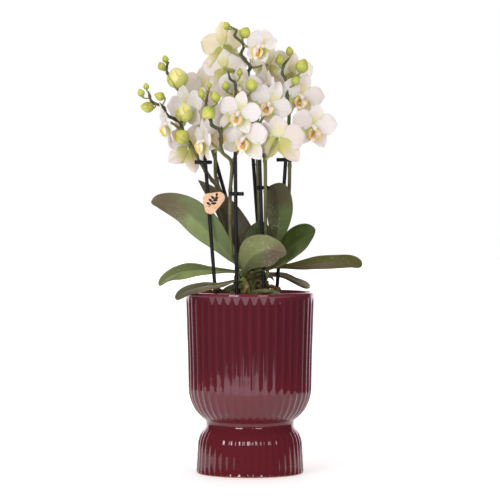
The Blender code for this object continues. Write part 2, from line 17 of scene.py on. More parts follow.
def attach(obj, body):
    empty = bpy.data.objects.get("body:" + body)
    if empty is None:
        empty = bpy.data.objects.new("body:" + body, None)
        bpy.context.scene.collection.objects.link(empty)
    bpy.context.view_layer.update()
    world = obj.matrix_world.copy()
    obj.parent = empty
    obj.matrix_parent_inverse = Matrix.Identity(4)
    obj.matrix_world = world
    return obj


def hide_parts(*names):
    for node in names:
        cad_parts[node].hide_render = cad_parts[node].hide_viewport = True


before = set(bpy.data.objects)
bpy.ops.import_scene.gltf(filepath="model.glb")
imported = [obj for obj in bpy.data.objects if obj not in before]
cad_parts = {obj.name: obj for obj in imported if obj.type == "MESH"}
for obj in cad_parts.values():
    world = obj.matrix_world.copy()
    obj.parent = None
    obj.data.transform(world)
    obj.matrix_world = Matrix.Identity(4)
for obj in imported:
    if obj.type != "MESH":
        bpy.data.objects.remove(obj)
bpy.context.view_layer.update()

MM = 0.001
CURVE_STEPS = 12  # points of a smooth curve between two given ones
DOME_STEPS = (82, 58, 30)  # rings of a tube's domed end, in degrees from its side

# Ceramic pot: (height, radius) of its outside over the ribs' crests, of its inside, and of its underside
FLUTES = 45
FLUTE_DEPTH = 0.78
FLUTE_RIDGE = 0.24  # share of a flute taken by the rounded ridge beside it
POT_OUTSIDE = [
    (0.0, 46.6), (0.5, 47.3), (1.6, 47.7), (6.0, 47.4), (14.0, 46.95), (22.0, 46.55), (28.0, 46.1),
    (31.5, 45.3), (34.5, 44.2), (37.5, 42.6), (39.8, 40.9), (41.6, 39.6), (43.2, 39.05), (45.0, 38.95),
    (46.4, 39.2), (47.6, 40.1), (49.2, 42.0), (52.0, 44.9), (56.2, 48.5), (60.7, 51.0), (65.1, 52.8),
    (69.6, 54.1), (74.5, 54.75), (84.0, 54.9), (102.0, 55.3), (122.0, 55.9), (140.0, 56.5),
    (152.0, 56.8), (157.4, 56.85), (158.4, 56.85), (158.8, 56.95), (159.1, 57.0), (159.5, 56.98),
    (160.0, 56.91), (160.5, 56.78), (160.9, 56.58), (161.2, 56.2), (161.4, 55.7), (161.5, 55.0),
]
POT_INSIDE = [
    (161.4, 54.2), (160.8, 53.4), (159.0, 53.0), (120.0, 51.6), (76.0, 50.4), (68.0, 48.8), (60.0, 44.5),
    (56.4, 40.0), (55.7, 38.6), (55.6, 34.0), (54.8, 33.2), (50.0, 33.0), (42.0, 33.0), (36.0, 37.0),
    (28.0, 41.0), (12.0, 41.8), (7.5, 41.0), (6.0, 39.0), (6.0, 20.0), (6.0, 1.0),
]
POT_UNDERSIDE = [(0.0, 1.0), (0.0, 30.0), (0.0, 44.0)]
COLUMNS_PER_FLUTE = 16
# Where the flutes run: (lowest height, highest height, length of the low end, length of the high end,
# share of the full depth)
FLUTE_RUNS = [(0.8, 40.6, 3.2, 7.2, 0.8), (48.2, 158.6, 7.2, 7.0, 1.0)]
FLUTE_END_BLEND = 0.05  # softness of the edge between a flute and its sloping end
# Heights at which the outside is drawn, as (from, to, how many), closer where it bends
POT_ROWS = [
    (0.0, 1.6, 6), (2.2, 4.0, 4), (8.0, 26.0, 5), (27.0, 48.0, 24), (48.8, 58.0, 12), (59.5, 76.0, 12),
    (80.0, 150.0, 8), (150.8, 158.4, 15), (158.65, 161.5, 16),
]
# Fine ridge left by the casting's seam on two sides: headings and half width in degrees, and where it ends
SEAM_HEADINGS = (93, 273)
SEAM_HALF_WIDTH = 0.45
SEAM_HEIGHT = 0.14
SEAM_TOP_Z = 156

# Nursery pot, nine centimetres across, standing on the ledge inside the ceramic pot
LEDGE_Z = 55.6
NURSERY_RIM_Z = 151.0
NURSERY_RIM_RADIUS = 45.0
NURSERY_BASE_RADIUS = 36.0
NURSERY_FOOT_RADIUS = 33.5  # where its floor turns up into the wall
NURSERY_WALL = 0.6
NURSERY_SIDES = 96
WICK_HOLE_RADIUS = 5.6

# Bark: radii and heights of its mound, radii of the rings that its bed is drawn with, light and dark tints
# of the two kinds of chips, how many of each, how far out they lie, and the middles of some at the rim
MOUND_RADII = (0, 17, 29, 38, 43)
MOUND_HEIGHTS = (155.0, 155.0, 153.0, 149.5, 146.5)
MOUND_RINGS = (40, 36, 30, 22, 12, 3)
BARK_LIGHT = ((0.440, 0.215, 0.075), (0.060, 0.032, 0.018))
BARK_DARK = ((0.150, 0.085, 0.048), (0.028, 0.018, 0.012))
BARK_COUNTS = (130, 150)
BARK_REACH = 39.5
RIM_CHIPS = ((-29.5, -15, 163.2), (-25.0, -16, 162.0), (20, -14, 161.5), (24, -8, 161.0), (15, -18, 161.0))

# Wick: height of its fold and of its ends, half the distance between its legs, length of one twist
WICK_FOLD_Z = 80.0
WICK_END_Z = 8.5
WICK_HALF_SPREAD = 3.0
WICK_TWIST = 11.0
STRANDS = 3
STRAND_RADIUS = 0.88
STRAND_OFFSET = 0.86  # from the rope's middle to each strand's middle
TUFT_FLARE = 0.25  # share by which the ends are wider
TUFT_LENGTH = 4.0

# Stakes: the lower end as distances from the tip and radii there, and each one's top and bottom point
STAKE_RADIUS = 1.65
STAKE_POINT = ((0.0, 3.0, 7.0), (0.3, 1.0, 1.5))
STAKE_BEVEL = 0.25
STAKES = [
    ((-40.1, -10, 283.9), (-26.4, -10, 105)),
    ((-43.7, 26, 323.7), (18.0, 26, 105)),
    ((-13.0, -22, 285.5), (-11.2, -22, 105)),
    ((-1.2, 14, 337.9), (14.9, 14, 105)),
    ((8.1, -18, 289.0), (14.3, -18, 105)),
    ((32.2, 10, 283.0), (20.2, 10, 105)),
]

# Clips: stake number, height, direction of the arm in degrees seen from above, arm length
CLIPS = [
    (0, 276.5, 176, 6.2),
    (1, 291.0, 180, 6.5),
    (2, 248.6, 0, 4.0),
    (3, 327.0, 200, 6.0),
    (4, 254.0, 40, 7.0),
    (5, 279.0, 160, 5.0),
]
CLIP_RADIUS = 0.85
CLIP_TALL = 2.0  # how much taller than wide a clip's section is
JAW_RADIUS = 1.9

# Name tag: a rounded triangle of thin wood, clipped to the first stake
TAG_CENTRE = (-33.0, -13.2, 241.6)
TAG_CORNERS = [(-4.8, 3.6), (4.6, 5.0), (-3.0, -4.4)]
TAG_ROUND = 5.2
TAG_THICKNESS = 1.6
TAG_BEVEL = 0.25
# The sprig on it: its stem, and its leaves as (place on the stem, heading in degrees, length)
SPRIG_STEM = [(-3.4, 0.0, -4.6), (-1.2, 0.0, -1.6), (0.6, 0.0, 1.4), (3.2, 0.0, 4.8)]
SPRIG_LEAVES = [(4, 150, 4.2), (6, 5, 4.6), (9, 140, 4.4), (11, 10, 4.4), (14, 135, 3.8), (15, 20, 3.6),
                (19, 75, 3.2)]
SPRIG_HALF_WIDTH = 1.15
SPRIG_THICKNESS = 0.16

# Leaves: midrib points, half width, upper-side direction at the base and at the tip
LEAVES = {
    "leaf_left_upper": (
        [(-10, -1, 186), (-16, -1.5, 192), (-25.5, -2, 203), (-38, -1.5, 217), (-46, -2, 224.5),
         (-57, -2.5, 233.5), (-70, -4, 240), (-80, -7, 242), (-87.5, -9, 240.8)],
        16.8, (0.35, 0.75, 0.55), (0.15, 0.8, 0.55)),
    "leaf_back": (
        [(-5, 8.5, 190), (-7, 12, 204), (-12.5, 15, 218), (-20.5, 16.5, 232.5), (-32, 17, 247),
         (-46.5, 16, 261)],
        13.2, (0.2, 0.95, 0.1), (0.3, 0.9, 0.3)),
    "leaf_left_middle": (
        [(-10.5, 1, 177.5), (-28, 5, 179.6), (-43, 7, 180.4), (-57, 7, 179.6),
         (-68, 6, 176.6), (-76, 4, 171.8), (-80.2, 2, 166.5)],
        12.2, (0.0, -0.4, 0.92), (-0.75, -0.45, 0.5)),
    "leaf_left_lower": (
        [(-9, -9, 171), (-27, -22, 168.4), (-41, -30, 167.0), (-53, -33, 164.2),
         (-61, -34, 160.2), (-65.5, -34, 156.5)],
        10.4, (0.0, -0.4, 0.92), (-0.7, -0.45, 0.55)),
    "leaf_front": (
        [(-6.6, -10.5, 175.5), (-4.2, -21.5, 184.8), (2.0, -34, 193.5), (11, -43, 198.6), (22, -49, 199.8),
         (32.0, -52, 197.0)],
        16.6, (0.35, 0.75, 0.55), (0.5, 0.7, 0.5)),
    "leaf_centre": (
        [(1, -3, 193.5), (5.0, -5, 202), (8.5, -4.5, 214), (10.0, -3.5, 224.8)],
        12.5, (0.0, -1.0, 0.1), (0.0, -0.9, 0.4)),
    "leaf_right_upright": (
        [(10.5, 0, 189), (18.5, 2, 199), (23.5, 2, 208.5), (25.8, 1, 222), (26.3, 0, 236),
         (24.4, -1, 248), (20.8, -2, 257.3)],
        12.0, (-0.2, 0.95, 0.1), (0.1, 0.95, 0.2)),
    "leaf_right_upper": (
        [(8.5, -7.5, 181), (18.6, -12, 187.0), (28.6, -20, 195.6), (41.6, -27, 207.2), (50.2, -30, 213.8),
         (57.5, -31, 217.4)],
        19.2, (-0.2, -0.5, 0.85), (-0.45, -0.65, 0.6)),
    "leaf_right_middle": (
        [(10.5, 1, 181.5), (27, -2.5, 183.2), (45, -5, 185.4), (62.5, -6, 187.6), (80, -6, 188.8),
         (91, -6, 188.2), (99.5, -6, 184.8)],
        10.4, (0.0, 0.55, 0.83), (0.35, 0.6, 0.7)),
    "leaf_right_lower": (
        [(9, 7, 176.5), (20, 14, 176.6), (31, 19, 174.8), (39, 20, 171.6), (47, 20, 167.6), (54, 20, 164.8)],
        5.6, (0.0, 0.6, 0.8), (0.3, 0.6, 0.75)),
    "leaf_small": (
        [(9.5, -4, 174), (15, -7, 175.5), (19, -8, 174.5), (21.5, -8.5, 171.5)],
        2.6, (0.0, -0.3, 0.95), (0.7, -0.3, 0.6)),
    "leaf_rear": (
        [(4.0, 17, 178), (7, 32, 186), (10, 52, 191), (13, 68, 187), (15, 78, 180)],
        12.5, (0.0, -0.4, 0.9), (0.0, 0.6, 0.8)),
}

# Crown: its short stem as (height, radius) and the number of green sheaths round it
CROWN_STEM = [(143, 3.5), (150, 6.2), (165, 6.8), (180, 6.0), (190, 3.4), (193, 1.0)]
GREEN_SHEATHS = 7
GREEN_SHEATH_SPAN = 112
# Old dry sheaths, near-black as painted shade in the crown's gaps, and the young one: heading in
# degrees, lower and upper end, radius, half span in degrees
OLD_SHEATHS = [(90, 148, 186, 12.0, 78), (150, 150, 176, 12.5, 50), (28, 146, 171, 15.0, 42)]
YOUNG_SHEATH = (-122, 157, 174.5, 10.0, 34)
SHEATH_THICKNESS = 0.9
# Cut flower stalks: lower end, upper end, radius
STUBS = [((-6.5, -10.5, 160.0), (-2.3, -12.5, 167.4), 1.9), ((-0.6, -10.0, 174.0), (2.2, -11.5, 179.8), 1.3)]

# Thick roots: path and radius. Thin roots: how many grow at random, and the paths of three that don't
ROOTS = {
    "aerial_root_left": ([(-6, -6, 167), (-9.5, -9.5, 166), (-18, -14, 164.5), (-26, -17, 160),
                          (-30, -18, 157.5)], 2.2),
    "aerial_root_right": ([(2.0, -8, 160), (4.0, -12.5, 161.5), (10, -25, 163), (20, -28.5, 162.5),
                           (28, -27, 159)], 2.25),
}
THIN_ROOTS = 15
THIN_ROOT_POINTS = 26
THIN_ROOT_PATHS = [
    [(6, -8, 172), (12, -12, 170.5), (17, -13, 167), (22, -11, 163), (26, -8, 157)],
    [(7, -6, 167), (14, -10, 165), (19, -15, 167.5), (23, -14, 165), (27, -12, 159)],
    [(-7, 2, 168), (-15, 0, 167), (-22, -3, 164), (-28, -6, 158)],
]

# Small stalks of flowers and of buds: shares of the length, radii there, sides of the tube, kind of skin
FLOWER_STALK = ((0, 0.12, 0.6, 1), (1.5, 1.2, 1.2, 1.4), 12, 1.0)
BUD_STALK = ((0, 0.12, 0.7, 1), (1.1, 0.7, 0.7, 1.1), 10, 0.8)
FLOWER_STALK_GAP = 0.4  # from where a flower's stalk ends to the flower's middle
BUD_STALK_END = 0.42  # from a bud's middle to where its stalk ends, as a share of the bud's length
NODE_SWELLING = 0.28  # share by which a stem is thicker at its nodes
NODE_HALF_LENGTH = 1.1
BRACTED_NODES = 3  # the lowest nodes of each stem, which have a bract of their own
BRACT_THICKNESS = 0.28

# Spikes: radii at these shares of the length from base to tip, and stem points from the crown upwards
SPIKE_PLACES = (0.0, 0.55, 0.80, 0.95, 1.0)
SPIKE_RADII = (1.5, 1.65, 1.55, 1.25, 0.85)
SPIKES = {
    1: [(-8.5, 6, 169), (-11.0, 8, 182), (-18.0, 8, 208), (-27.0, 4, 238.7), (-29.6, 1, 254.5),
        (-33.5, -3, 260.5), (-39.2, -4.5, 268.5), (-43.8, -5.5, 276.5), (-48.6, -7, 285.7),
        (-53.0, -8, 292.8), (-60.1, -8, 306.1), (-61.5, -9, 311.8), (-66.3, -9, 314.6),
        (-73.7, -10, 318.5), (-76.5, -10, 325.1), (-86.7, -10, 330.0), (-88.6, -10, 335.3),
        (-89.9, -10, 338.6)],
    2: [(-10.5, -8.0, 182), (-13.8, -15.0, 190), (-16.6, -20.5, 199.3), (-17.5, -21, 225.6),
        (-17.4, -19, 251.1), (-16.2, -17.5, 275.8), (-24.9, -23, 286.3), (-25.8, -27, 303.0),
        (-33.2, -28, 308.7), (-34.5, -28, 313.5), (-38.5, -28, 325.0), (-38.1, -28, 331.1),
        (-36.5, -28, 338.5)],
    3: [(9.5, -10.5, 168), (14.5, -15.5, 174), (15.4, -18, 184), (13.9, -17.8, 215.8), (13.6, -18, 251.1),
        (13.2, -20, 277.7), (10.8, -10, 286.5), (7.4, -7, 295), (1.9, -9, 313.9),
        (-8.7, -10, 324.5), (-12.6, -9, 334.3), (-13.1, -9, 345.8), (-17.5, -9, 350.2), (-19.2, -9, 356.5)],
    4: [(8.0, 8.8, 181), (9.8, 9.5, 194), (8.4, 9.0, 223.5), (6.8, 9, 274.4), (6.0, 10, 300),
        (1.6, 10, 332.4), (-1.9, 8, 354.8), (0.2, 5, 361.9), (-7.9, 4, 371.7), (-5.5, 3, 380.9),
        (-13.6, 3, 388.9), (-12.0, 3, 393.6), (-17.0, 3, 397.0)],
    5: [(9.5, 6.5, 184), (17, 11.5, 194), (30, 14.5, 214), (34.5, 13.5, 243.1), (35.5, 12.5, 274.3),
        (35.3, 9, 296.6), (34.5, 5, 308.2), (34.7, 2, 320.3), (32.9, 2, 336.8), (33.2, 2, 343.9),
        (31.4, 2, 351.1), (28.7, 2, 355.5), (29.9, 2, 362.7), (34.7, 2, 369.0)],
    6: [(-4.0, 10.5, 172), (-9, 20, 200), (-20, 21, 236), (-30.2, 20, 261.0), (-31.5, 21, 286.0),
        (-36, 19, 294), (-43, 23.5, 306), (-51, 36, 322), (-58, 38, 334), (-66.5, 33, 344.5),
        (-74.0, 24, 356.5), (-74.4, 18, 362.3), (-73.0, 16, 366.0)],
}

# Buds: spike, centre, length, width, the way the tip points
BUDS = [
    (1, (-91.9, -10, 343.7), 6.4, 5.3, (-0.2, 0.0, 1.0)),
    (1, (-96.4, -12, 337.9), 8.0, 6.4, (-0.4, -0.1, 1.0)),
    (1, (-79.9, -12, 334.8), 9.8, 8.0, (-1.0, -0.2, 0.3)),
    (1, (-90.6, -16, 325.0), 12.5, 10.0, (-1.0, -0.2, 0.1)),
    (1, (-60.3, -19, 298.8), 15.0, 13.6, (-0.7, -0.3, 0.6)),
    (1, (-58.1, -16, 320.6), 16.5, 14.2, (0.1, -0.3, 1.0)),
    (6, (-75.8, 16, 369.1), 7.1, 6.2, (-0.3, 0.0, 1.0)),
    (6, (-79.0, 13, 362.6), 8.6, 7.1, (-0.5, -0.2, 0.9)),
    (6, (-65.0, 9, 352.5), 18.5, 17.0, (-0.2, -0.4, 0.9)),
    (2, (-35.6, -28, 343.9), 6.2, 4.6, (0.1, 0.0, 1.0)),
    (2, (-42.6, -29, 336.6), 8.9, 6.2, (-0.1, -0.1, 1.0)),
    (2, (-30.4, -30, 333.5), 10.7, 8.9, (-0.3, -0.2, 1.0)),
    (2, (-36.5, -35, 319.7), 13.5, 12.0, (-0.6, -0.3, -0.5)),
    (3, (-9.0, -12, 356.2), 7.6, 5.8, (0.0, -0.1, 1.0)),
    (3, (-21.5, -11, 343.7), 9.3, 7.4, (-0.2, -0.1, 1.0)),
    (3, (1.4, -17, 344.6), 12.2, 11.4, (0.1, -0.4, 1.0)),
    (4, (-21.2, 2, 398.0), 8.0, 7.1, (-0.6, -0.1, 0.9)),
    (4, (-4.3, 1, 391.8), 10.9, 10.4, (0.5, -0.2, 0.9)),
    (5, (35.2, 2, 375.2), 9.3, 6.9, (-0.1, 0.0, 1.0)),
    (5, (26.6, -1, 367.7), 11.1, 8.7, (0.1, -0.2, 1.0)),
    (5, (46.5, -2, 362.0), 13.8, 11.6, (0.35, -0.2, 1.0)),
    (5, (40.5, -3, 348.9), 8.6, 7.4, (0.3, -0.4, 0.8)),
]

# Flowers: spike, centre, turn from the front in degrees (to +X), tilt upwards, roll, size,
# and the height at which the stalk leaves the stem
FLOWERS = {
    "flower_01": (4, (-24.0, 7, 380.5), -150, 20, -17, 1.0, 371),
    "flower_02": (4, (-22.6, 8, 360.5), 172, 5, -6, 0.95, 357),
    "flower_03": (4, (11.8, -10, 379.0), -40, 8, -12, 0.94, 381),
    "flower_04": (4, (16.3, 15, 364.0), 148, 0, 0, 0.95, 362),
    "flower_05": (5, (15.6, 3, 347.0), -70, -8, 0, 0.85, 338),
    "flower_06": (5, (45.0, 7, 336.4), 20, -5, -18, 0.93, 320),
    "flower_07": (5, (56.5, -3, 309.0), 14, -8, -8, 0.95, 300),
    "flower_08": (5, (38.0, 28, 357.0), 165, 10, 0, 0.9, 344),
    "flower_09": (3, (17.0, -10, 328.1), 6, 8, -30, 0.96, 305),
    "flower_10": (3, (25.1, -25, 297.4), 154, 6, -5, 1.12, 277.7),
    "flower_11": (2, (-10.1, -24, 320.2), -6, -3, -15, 0.88, 303),
    "flower_12": (2, (-5.0, -19, 299.5), -16, -12, -5, 0.99, 276),
    "flower_13": (2, (-40.0, -30, 295.5), -68, -6, 0, 0.88, 286),
    "flower_14": (1, (-73.0, -17, 311.0), -78, -18, 0, 0.86, 305),
    "flower_15": (1, (-54.2, -1, 289.5), -158, -5, 20, 0.98, 285),
    "flower_16": (6, (-57.0, 1, 325.0), -42, 4, 14, 1.0, 334),
    "flower_17": (6, (-42.5, 32, 343.0), 12, 2, -5, 1.0, 322),
    "flower_18": (4, (-9.0, -1, 342.0), 4, 2, -6, 0.95, 322),
    "flower_19": (6, (-25.0, -8, 304.5), -14, 0, 0, 0.92, 286),
    "flower_20": (6, (-37.0, 12, 316.0), -8, -6, 0, 0.95, 294),
    "flower_21": (4, (10.0, 36, 330.0), 168, 5, 0, 0.95, 300),
}
# Flower parts, for a flower of size 1: direction round from straight up, length, half width, kind
TEPALS = [(0, 22.3, 6.5, "dorsal"), (142, 23.5, 6.9, "lateral"), (-142, 23.5, 6.9, "lateral"),
          (74, 22.0, 10.2, "petal"), (-74, 22.0, 10.2, "petal")]
# Tepals that grew differently, by flower and usual direction: direction, length, half width
GROWN_TEPALS = {
    ("flower_03", 0): (0, 15.2, 10.6),
    ("flower_03", 142): (126, 20.5, 7.8),
    ("flower_03", -142): (-152, 17.0, 6.2),
    ("flower_03", -74): (-68, 18.5, 6.2),
    ("flower_10", 0): (0, 17.5, 8.6),
    ("flower_10", 142): (145, 25.0, 7.2),
    ("flower_10", -142): (-124, 22.0, 7.6),
    ("flower_10", 74): (88, 22.0, 10.2),
    ("flower_12", 142): (124, 22.0, 8.4),
    ("flower_12", -142): (-138, 25.0, 7.8),
}
# Tints of the tepals by kind: tint and reach at the base, tint and reach behind
TINTS = {
    "petal": ((0.740, 0.690, 0.400), 0.14, (0.700, 0.660, 0.420), 0.16),
    "dorsal": ((0.690, 0.665, 0.330), 0.60, (0.640, 0.610, 0.270), 0.34),
    "lateral": ((0.520, 0.520, 0.130), 0.74, (0.470, 0.450, 0.150), 0.38),
}
PALE_TINTS = TINTS | {
    "dorsal": ((0.690, 0.665, 0.330), 0.60, (0.700, 0.680, 0.460), 0.22),
    "lateral": ((0.520, 0.520, 0.130), 0.74, (0.500, 0.465, 0.210), 0.22),
}
OPENED_WHITE = (0.790, 0.755, 0.730)
# Flowers that look different: their tints, their white, and which they are. The young one opened last
# and is still yellow-green; the one with a duller white is dimmed as painted shade; the pale ones, behind
# the others, have a whiter white and little green behind as painted light
OTHER_SKINS = {
    "young": (TINTS, (0.850, 0.815, 0.560), ("flower_01",)),
    "painted_shade": (PALE_TINTS, (0.690, 0.650, 0.605), ("flower_10",)),
    "pale": (PALE_TINTS, (0.930, 0.900, 0.850), ("flower_04", "flower_08", "flower_21")),
}
LIP_SCALE = 1.15
TEPAL_THICKNESS = 0.55
TEPAL_START = 1.2  # from the flower's middle to where a tepal begins
FLOWER_CUP = 3.4
OPENING_BUD_WIDTH = 14.0  # buds at least this wide are about to open

# Leaf looks: the upper face on the left and the right half (seen from the base, upper face towards
# the viewer), the lower face on both halves, the tip, where the tip's colour starts and how it leans
# to the right half, gloss, scuffs. The halves differ partly in their own colour and partly as painted
# light and shade, one half lit and the other shaded
LEAF_LOOKS = {
    "leaf_left_upper": ((0.150, 0.185, 0.075), (0.135, 0.170, 0.070), (0.150, 0.205, 0.078),
                        (0.235, 0.300, 0.115), (0.130, 0.098, 0.060), 0.60, 0.05, 0.50, 0.5),
    "leaf_back": ((0.125, 0.105, 0.040), (0.110, 0.100, 0.040), (0.085, 0.075, 0.046),
                  (0.076, 0.062, 0.040), (0.105, 0.095, 0.055), 0.55, 0.0, 0.50, 0.25),
    "leaf_left_middle": ((0.260, 0.315, 0.095), (0.130, 0.170, 0.055), (0.130, 0.150, 0.055),
                         (0.130, 0.150, 0.055), (0.165, 0.200, 0.070), 0.60, 0.0, 0.36, 0.3),
    "leaf_left_lower": ((0.205, 0.170, 0.095), (0.078, 0.092, 0.036), (0.130, 0.140, 0.060),
                        (0.130, 0.140, 0.060), (0.105, 0.100, 0.050), 0.55, 0.0, 0.42, 0.3),
    "leaf_front": ((0.095, 0.125, 0.045), (0.120, 0.100, 0.060), (0.140, 0.168, 0.070),
                   (0.185, 0.222, 0.078), (0.125, 0.098, 0.064), 0.56, -0.30, 0.42, 1.0),
    "leaf_centre": ((0.038, 0.062, 0.018), (0.034, 0.055, 0.016), (0.100, 0.130, 0.045),
                    (0.100, 0.130, 0.045), (0.050, 0.070, 0.025), 0.60, 0.0, 0.30, 0.2),
    "leaf_right_upright": ((0.110, 0.120, 0.035), (0.100, 0.115, 0.035), (0.092, 0.128, 0.036),
                           (0.092, 0.118, 0.036), (0.060, 0.050, 0.026), 0.54, 0.12, 0.40, 0.8),
    "leaf_right_upper": ((0.030, 0.052, 0.006), (0.062, 0.094, 0.026), (0.110, 0.130, 0.050),
                         (0.110, 0.130, 0.050), (0.050, 0.075, 0.024), 0.70, 0.0, 0.28, 0.2),
    "leaf_right_middle": ((0.115, 0.125, 0.050), (0.105, 0.115, 0.048), (0.120, 0.090, 0.048),
                          (0.082, 0.088, 0.012), (0.072, 0.074, 0.012), 0.60, 0.0, 0.60, 0.3),
    # Its lower face is tan, lightened partly as painted light where it lies in shade
    "leaf_right_lower": ((0.105, 0.135, 0.050), (0.105, 0.135, 0.050), (0.420, 0.375, 0.270),
                         (0.300, 0.290, 0.180), (0.420, 0.375, 0.270), 0.45, 0.0, 0.50, 0.3),
    "leaf_small": ((0.120, 0.115, 0.040), (0.120, 0.115, 0.040), (0.120, 0.120, 0.045),
                   (0.120, 0.120, 0.045), (0.150, 0.110, 0.050), 0.60, 0.0, 0.45, 0.3),
    "leaf_rear": ((0.085, 0.135, 0.040), (0.090, 0.140, 0.042), (0.115, 0.135, 0.050),
                  (0.115, 0.135, 0.050), (0.100, 0.110, 0.045), 0.60, 0.0, 0.38, 0.3),
}
# Leaf forms: share of the length where it is widest, width of its foot, how pointed the tip is (0 blunt,
# 1 pointed), rise of the halves above the midrib
LEAF_FORMS = {
    "leaf_left_upper": (0.50, 0.40, 0.60, 0.16),
    "leaf_back": (0.28, 0.60, 1.30, 0.16),
    "leaf_left_middle": (0.70, 0.22, 0.00, 0.12),
    "leaf_left_lower": (0.70, 0.22, 0.00, 0.10),
    "leaf_front": (0.60, 0.14, 0.75, 0.18),
    "leaf_centre": (0.45, 0.40, 0.70, 0.16),
    "leaf_right_upright": (0.74, 0.16, -0.25, 0.20),
    "leaf_right_upper": (0.50, 0.50, 0.30, 0.16),
    "leaf_right_middle": (0.76, 0.18, 0.00, 0.08),
    "leaf_right_lower": (0.78, 0.30, 0.20, 0.12),
    "leaf_small": (0.50, 0.27, 0.80, 0.20),
    "leaf_rear": (0.52, 0.27, 0.50, 0.16),
}
LEAF_THICKNESS = 1.9
LEAF_ROWS, LEAF_COLUMNS = 54, 27
LEAF_ROW_CROWDING = 1.35  # above 1, rows lie closer together at the tip
LEAF_COLUMN_CROWDING = 1.25  # above 1, columns lie closer together at the midrib
LEAF_ROOT_SHARE = 0.35  # how far out in the crown a leaf begins, as a share of its first point's distance
LEAF_ROOT_DROP = 7.0  # and how far below that point
LEAF_GROOVE_DEPTH = 0.42
LEAF_GROOVE_HALF_WIDTH = 0.9

# Studio, in metres and watts: the table's outline, the soft boxes, and the camera
TABLE_EDGE = [
    (-0.66, 0.30), (-0.66, -0.12), (-0.84, -0.24), (-0.62, -0.62), (-0.26, -0.87), (0.10, -0.85),
    (0.30, -0.93), (0.34, -0.62), (0.50, -0.50), (0.54, -0.28), (0.38, 0.0), (0.46, 0.40),
    (1.6, 7.0), (-1.6, 7.0),
]
LIT_MIDDLE = (0, 0, 0.22)
# Name, azimuth, elevation, distance, width and height, power
SOFT_BOXES = [
    ("soft_box_left", -29, 13.5, 1.6, (0.50, 0.44), 8.8),
    ("soft_box_right", 23, 13.5, 1.6, (0.46, 0.40), 3.6),
    ("overhead", -15, 66, 1.7, (1.2, 0.9), 4.0),
]
LAMP_COLOUR = (0.97, 0.96, 1.0)
# What lights the plant, and what shines in the glaze: tint, then (from, to, darkest, brightest) going back
FILL = ((1.0, 0.96, 0.94), (-0.4, 0.9, 0.50, 0.95))
MIRRORED = ((1.0, 0.86, 0.95), (0.70, 0.88, 0.035, 2.2))
CAMERA_PLACE = (0.0, -2.3, 0.25)
CAMERA_AIM = (0.0, 0.0, 0.1986)
LENS_LENGTH = 186.1
SENSOR_WIDTH = 36.0


# ---------------------------------------------------------------- meshes


def grid_faces(rows, columns, wrap=False):
    """Quads between neighbouring points of a grid that is numbered row by row."""
    j = np.arange(columns if wrap else columns - 1)
    i = np.arange(rows - 1)[:, None] * columns
    right = (j + 1) % columns
    return np.stack([i + j, i + right, i + columns + right, i + columns + j], axis=-1).reshape(-1, 4)


class Shape:
    """Points, faces and marks gathered for one piece. A mark is three numbers that materials read."""

    def __init__(self):
        self.points, self.marks, self.faces, self.materials = [], [], [], []
        self.count = 0

    def add(self, points, marks, face_blocks, material=0):
        points = np.asarray(points, float).reshape(-1, 3)
        self.points.append(points)
        self.marks.append(np.broadcast_to(np.asarray(marks, float).reshape(-1, 3), points.shape))
        for block in face_blocks:
            self.faces.extend((np.asarray(block) + self.count).tolist())
            self.materials.extend([material] * len(block))
        self.count += len(points)


def placed(name, data):
    """A new object in the scene."""
    thing = bpy.data.objects.new(name, data)
    bpy.context.scene.collection.objects.link(thing)
    return thing


def add_piece(name, shape, surfaces, stands_for, sharp=None):
    """Make a shape into a piece on the root body; sharp is the angle from which its edges are hard."""
    mesh = bpy.data.meshes.new(name)
    mesh.from_pydata((np.concatenate(shape.points) * MM).tolist(), [], shape.faces)
    work = bmesh.new()
    work.from_mesh(mesh)
    bmesh.ops.recalc_face_normals(work, faces=work.faces)
    work.to_mesh(mesh)
    work.free()
    marks = mesh.attributes.new("marks", "FLOAT_VECTOR", "POINT")
    marks.data.foreach_set("vector", np.concatenate(shape.marks).ravel())
    for surface in surfaces:
        mesh.materials.append(surface)
    mesh.polygons.foreach_set("material_index", shape.materials)
    mesh.shade_smooth()
    if sharp:
        mesh.set_sharp_from_angle(angle=math.radians(sharp))
    piece = placed(name, mesh)
    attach(piece, "root")
    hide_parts(*stands_for)


def round_angles(count):
    return np.linspace(0, 2 * math.pi, count, endpoint=False)


def unit(vectors):
    vectors = np.asarray(vectors, float)
    return vectors / np.maximum(np.linalg.norm(vectors, axis=-1, keepdims=True), 1e-9)


def smooth_curve(points, steps):
    """Points along a Catmull-Rom curve, the same number of steps between each given pair."""
    given = [np.array(p, float) for p in points]
    given = [2 * given[0] - given[1]] + given + [2 * given[-1] - given[-2]]
    curve = []
    for a, b, c, d in zip(given, given[1:], given[2:], given[3:]):
        for t in np.linspace(0, 1, steps, endpoint=False):
            curve.append(0.5 * (2 * b + (c - a) * t + (2 * a - 5 * b + 4 * c - d) * t**2
                                + (3 * b - a - 3 * c + d) * t**3))
    return np.array(curve + [given[-2]])


def walked(path):
    """Distance along a path at each of its points."""
    return np.concatenate([[0], np.cumsum(np.linalg.norm(np.diff(path, axis=0), axis=1))])


def smooth_path(points, count):
    """Points evenly spaced along a Catmull-Rom curve through the given ones."""
    dense = smooth_curve(points, CURVE_STEPS)
    distance = walked(dense)
    wanted = np.linspace(0, distance[-1], count)
    return np.column_stack([np.interp(wanted, distance, dense[:, k]) for k in range(3)])


def nearest(path, point):
    """Number of the path's point that is nearest to the given one."""
    return int(np.argmin(np.linalg.norm(path - np.array(point), axis=1)))


def closed_faces(rows, columns):
    """Faces of a skin made of rings: the quads between them, and one face on each end ring."""
    ends = np.arange(columns)
    return [grid_faces(rows, columns, wrap=True), ends[None, ::-1], ends[None] + (rows - 1) * columns]


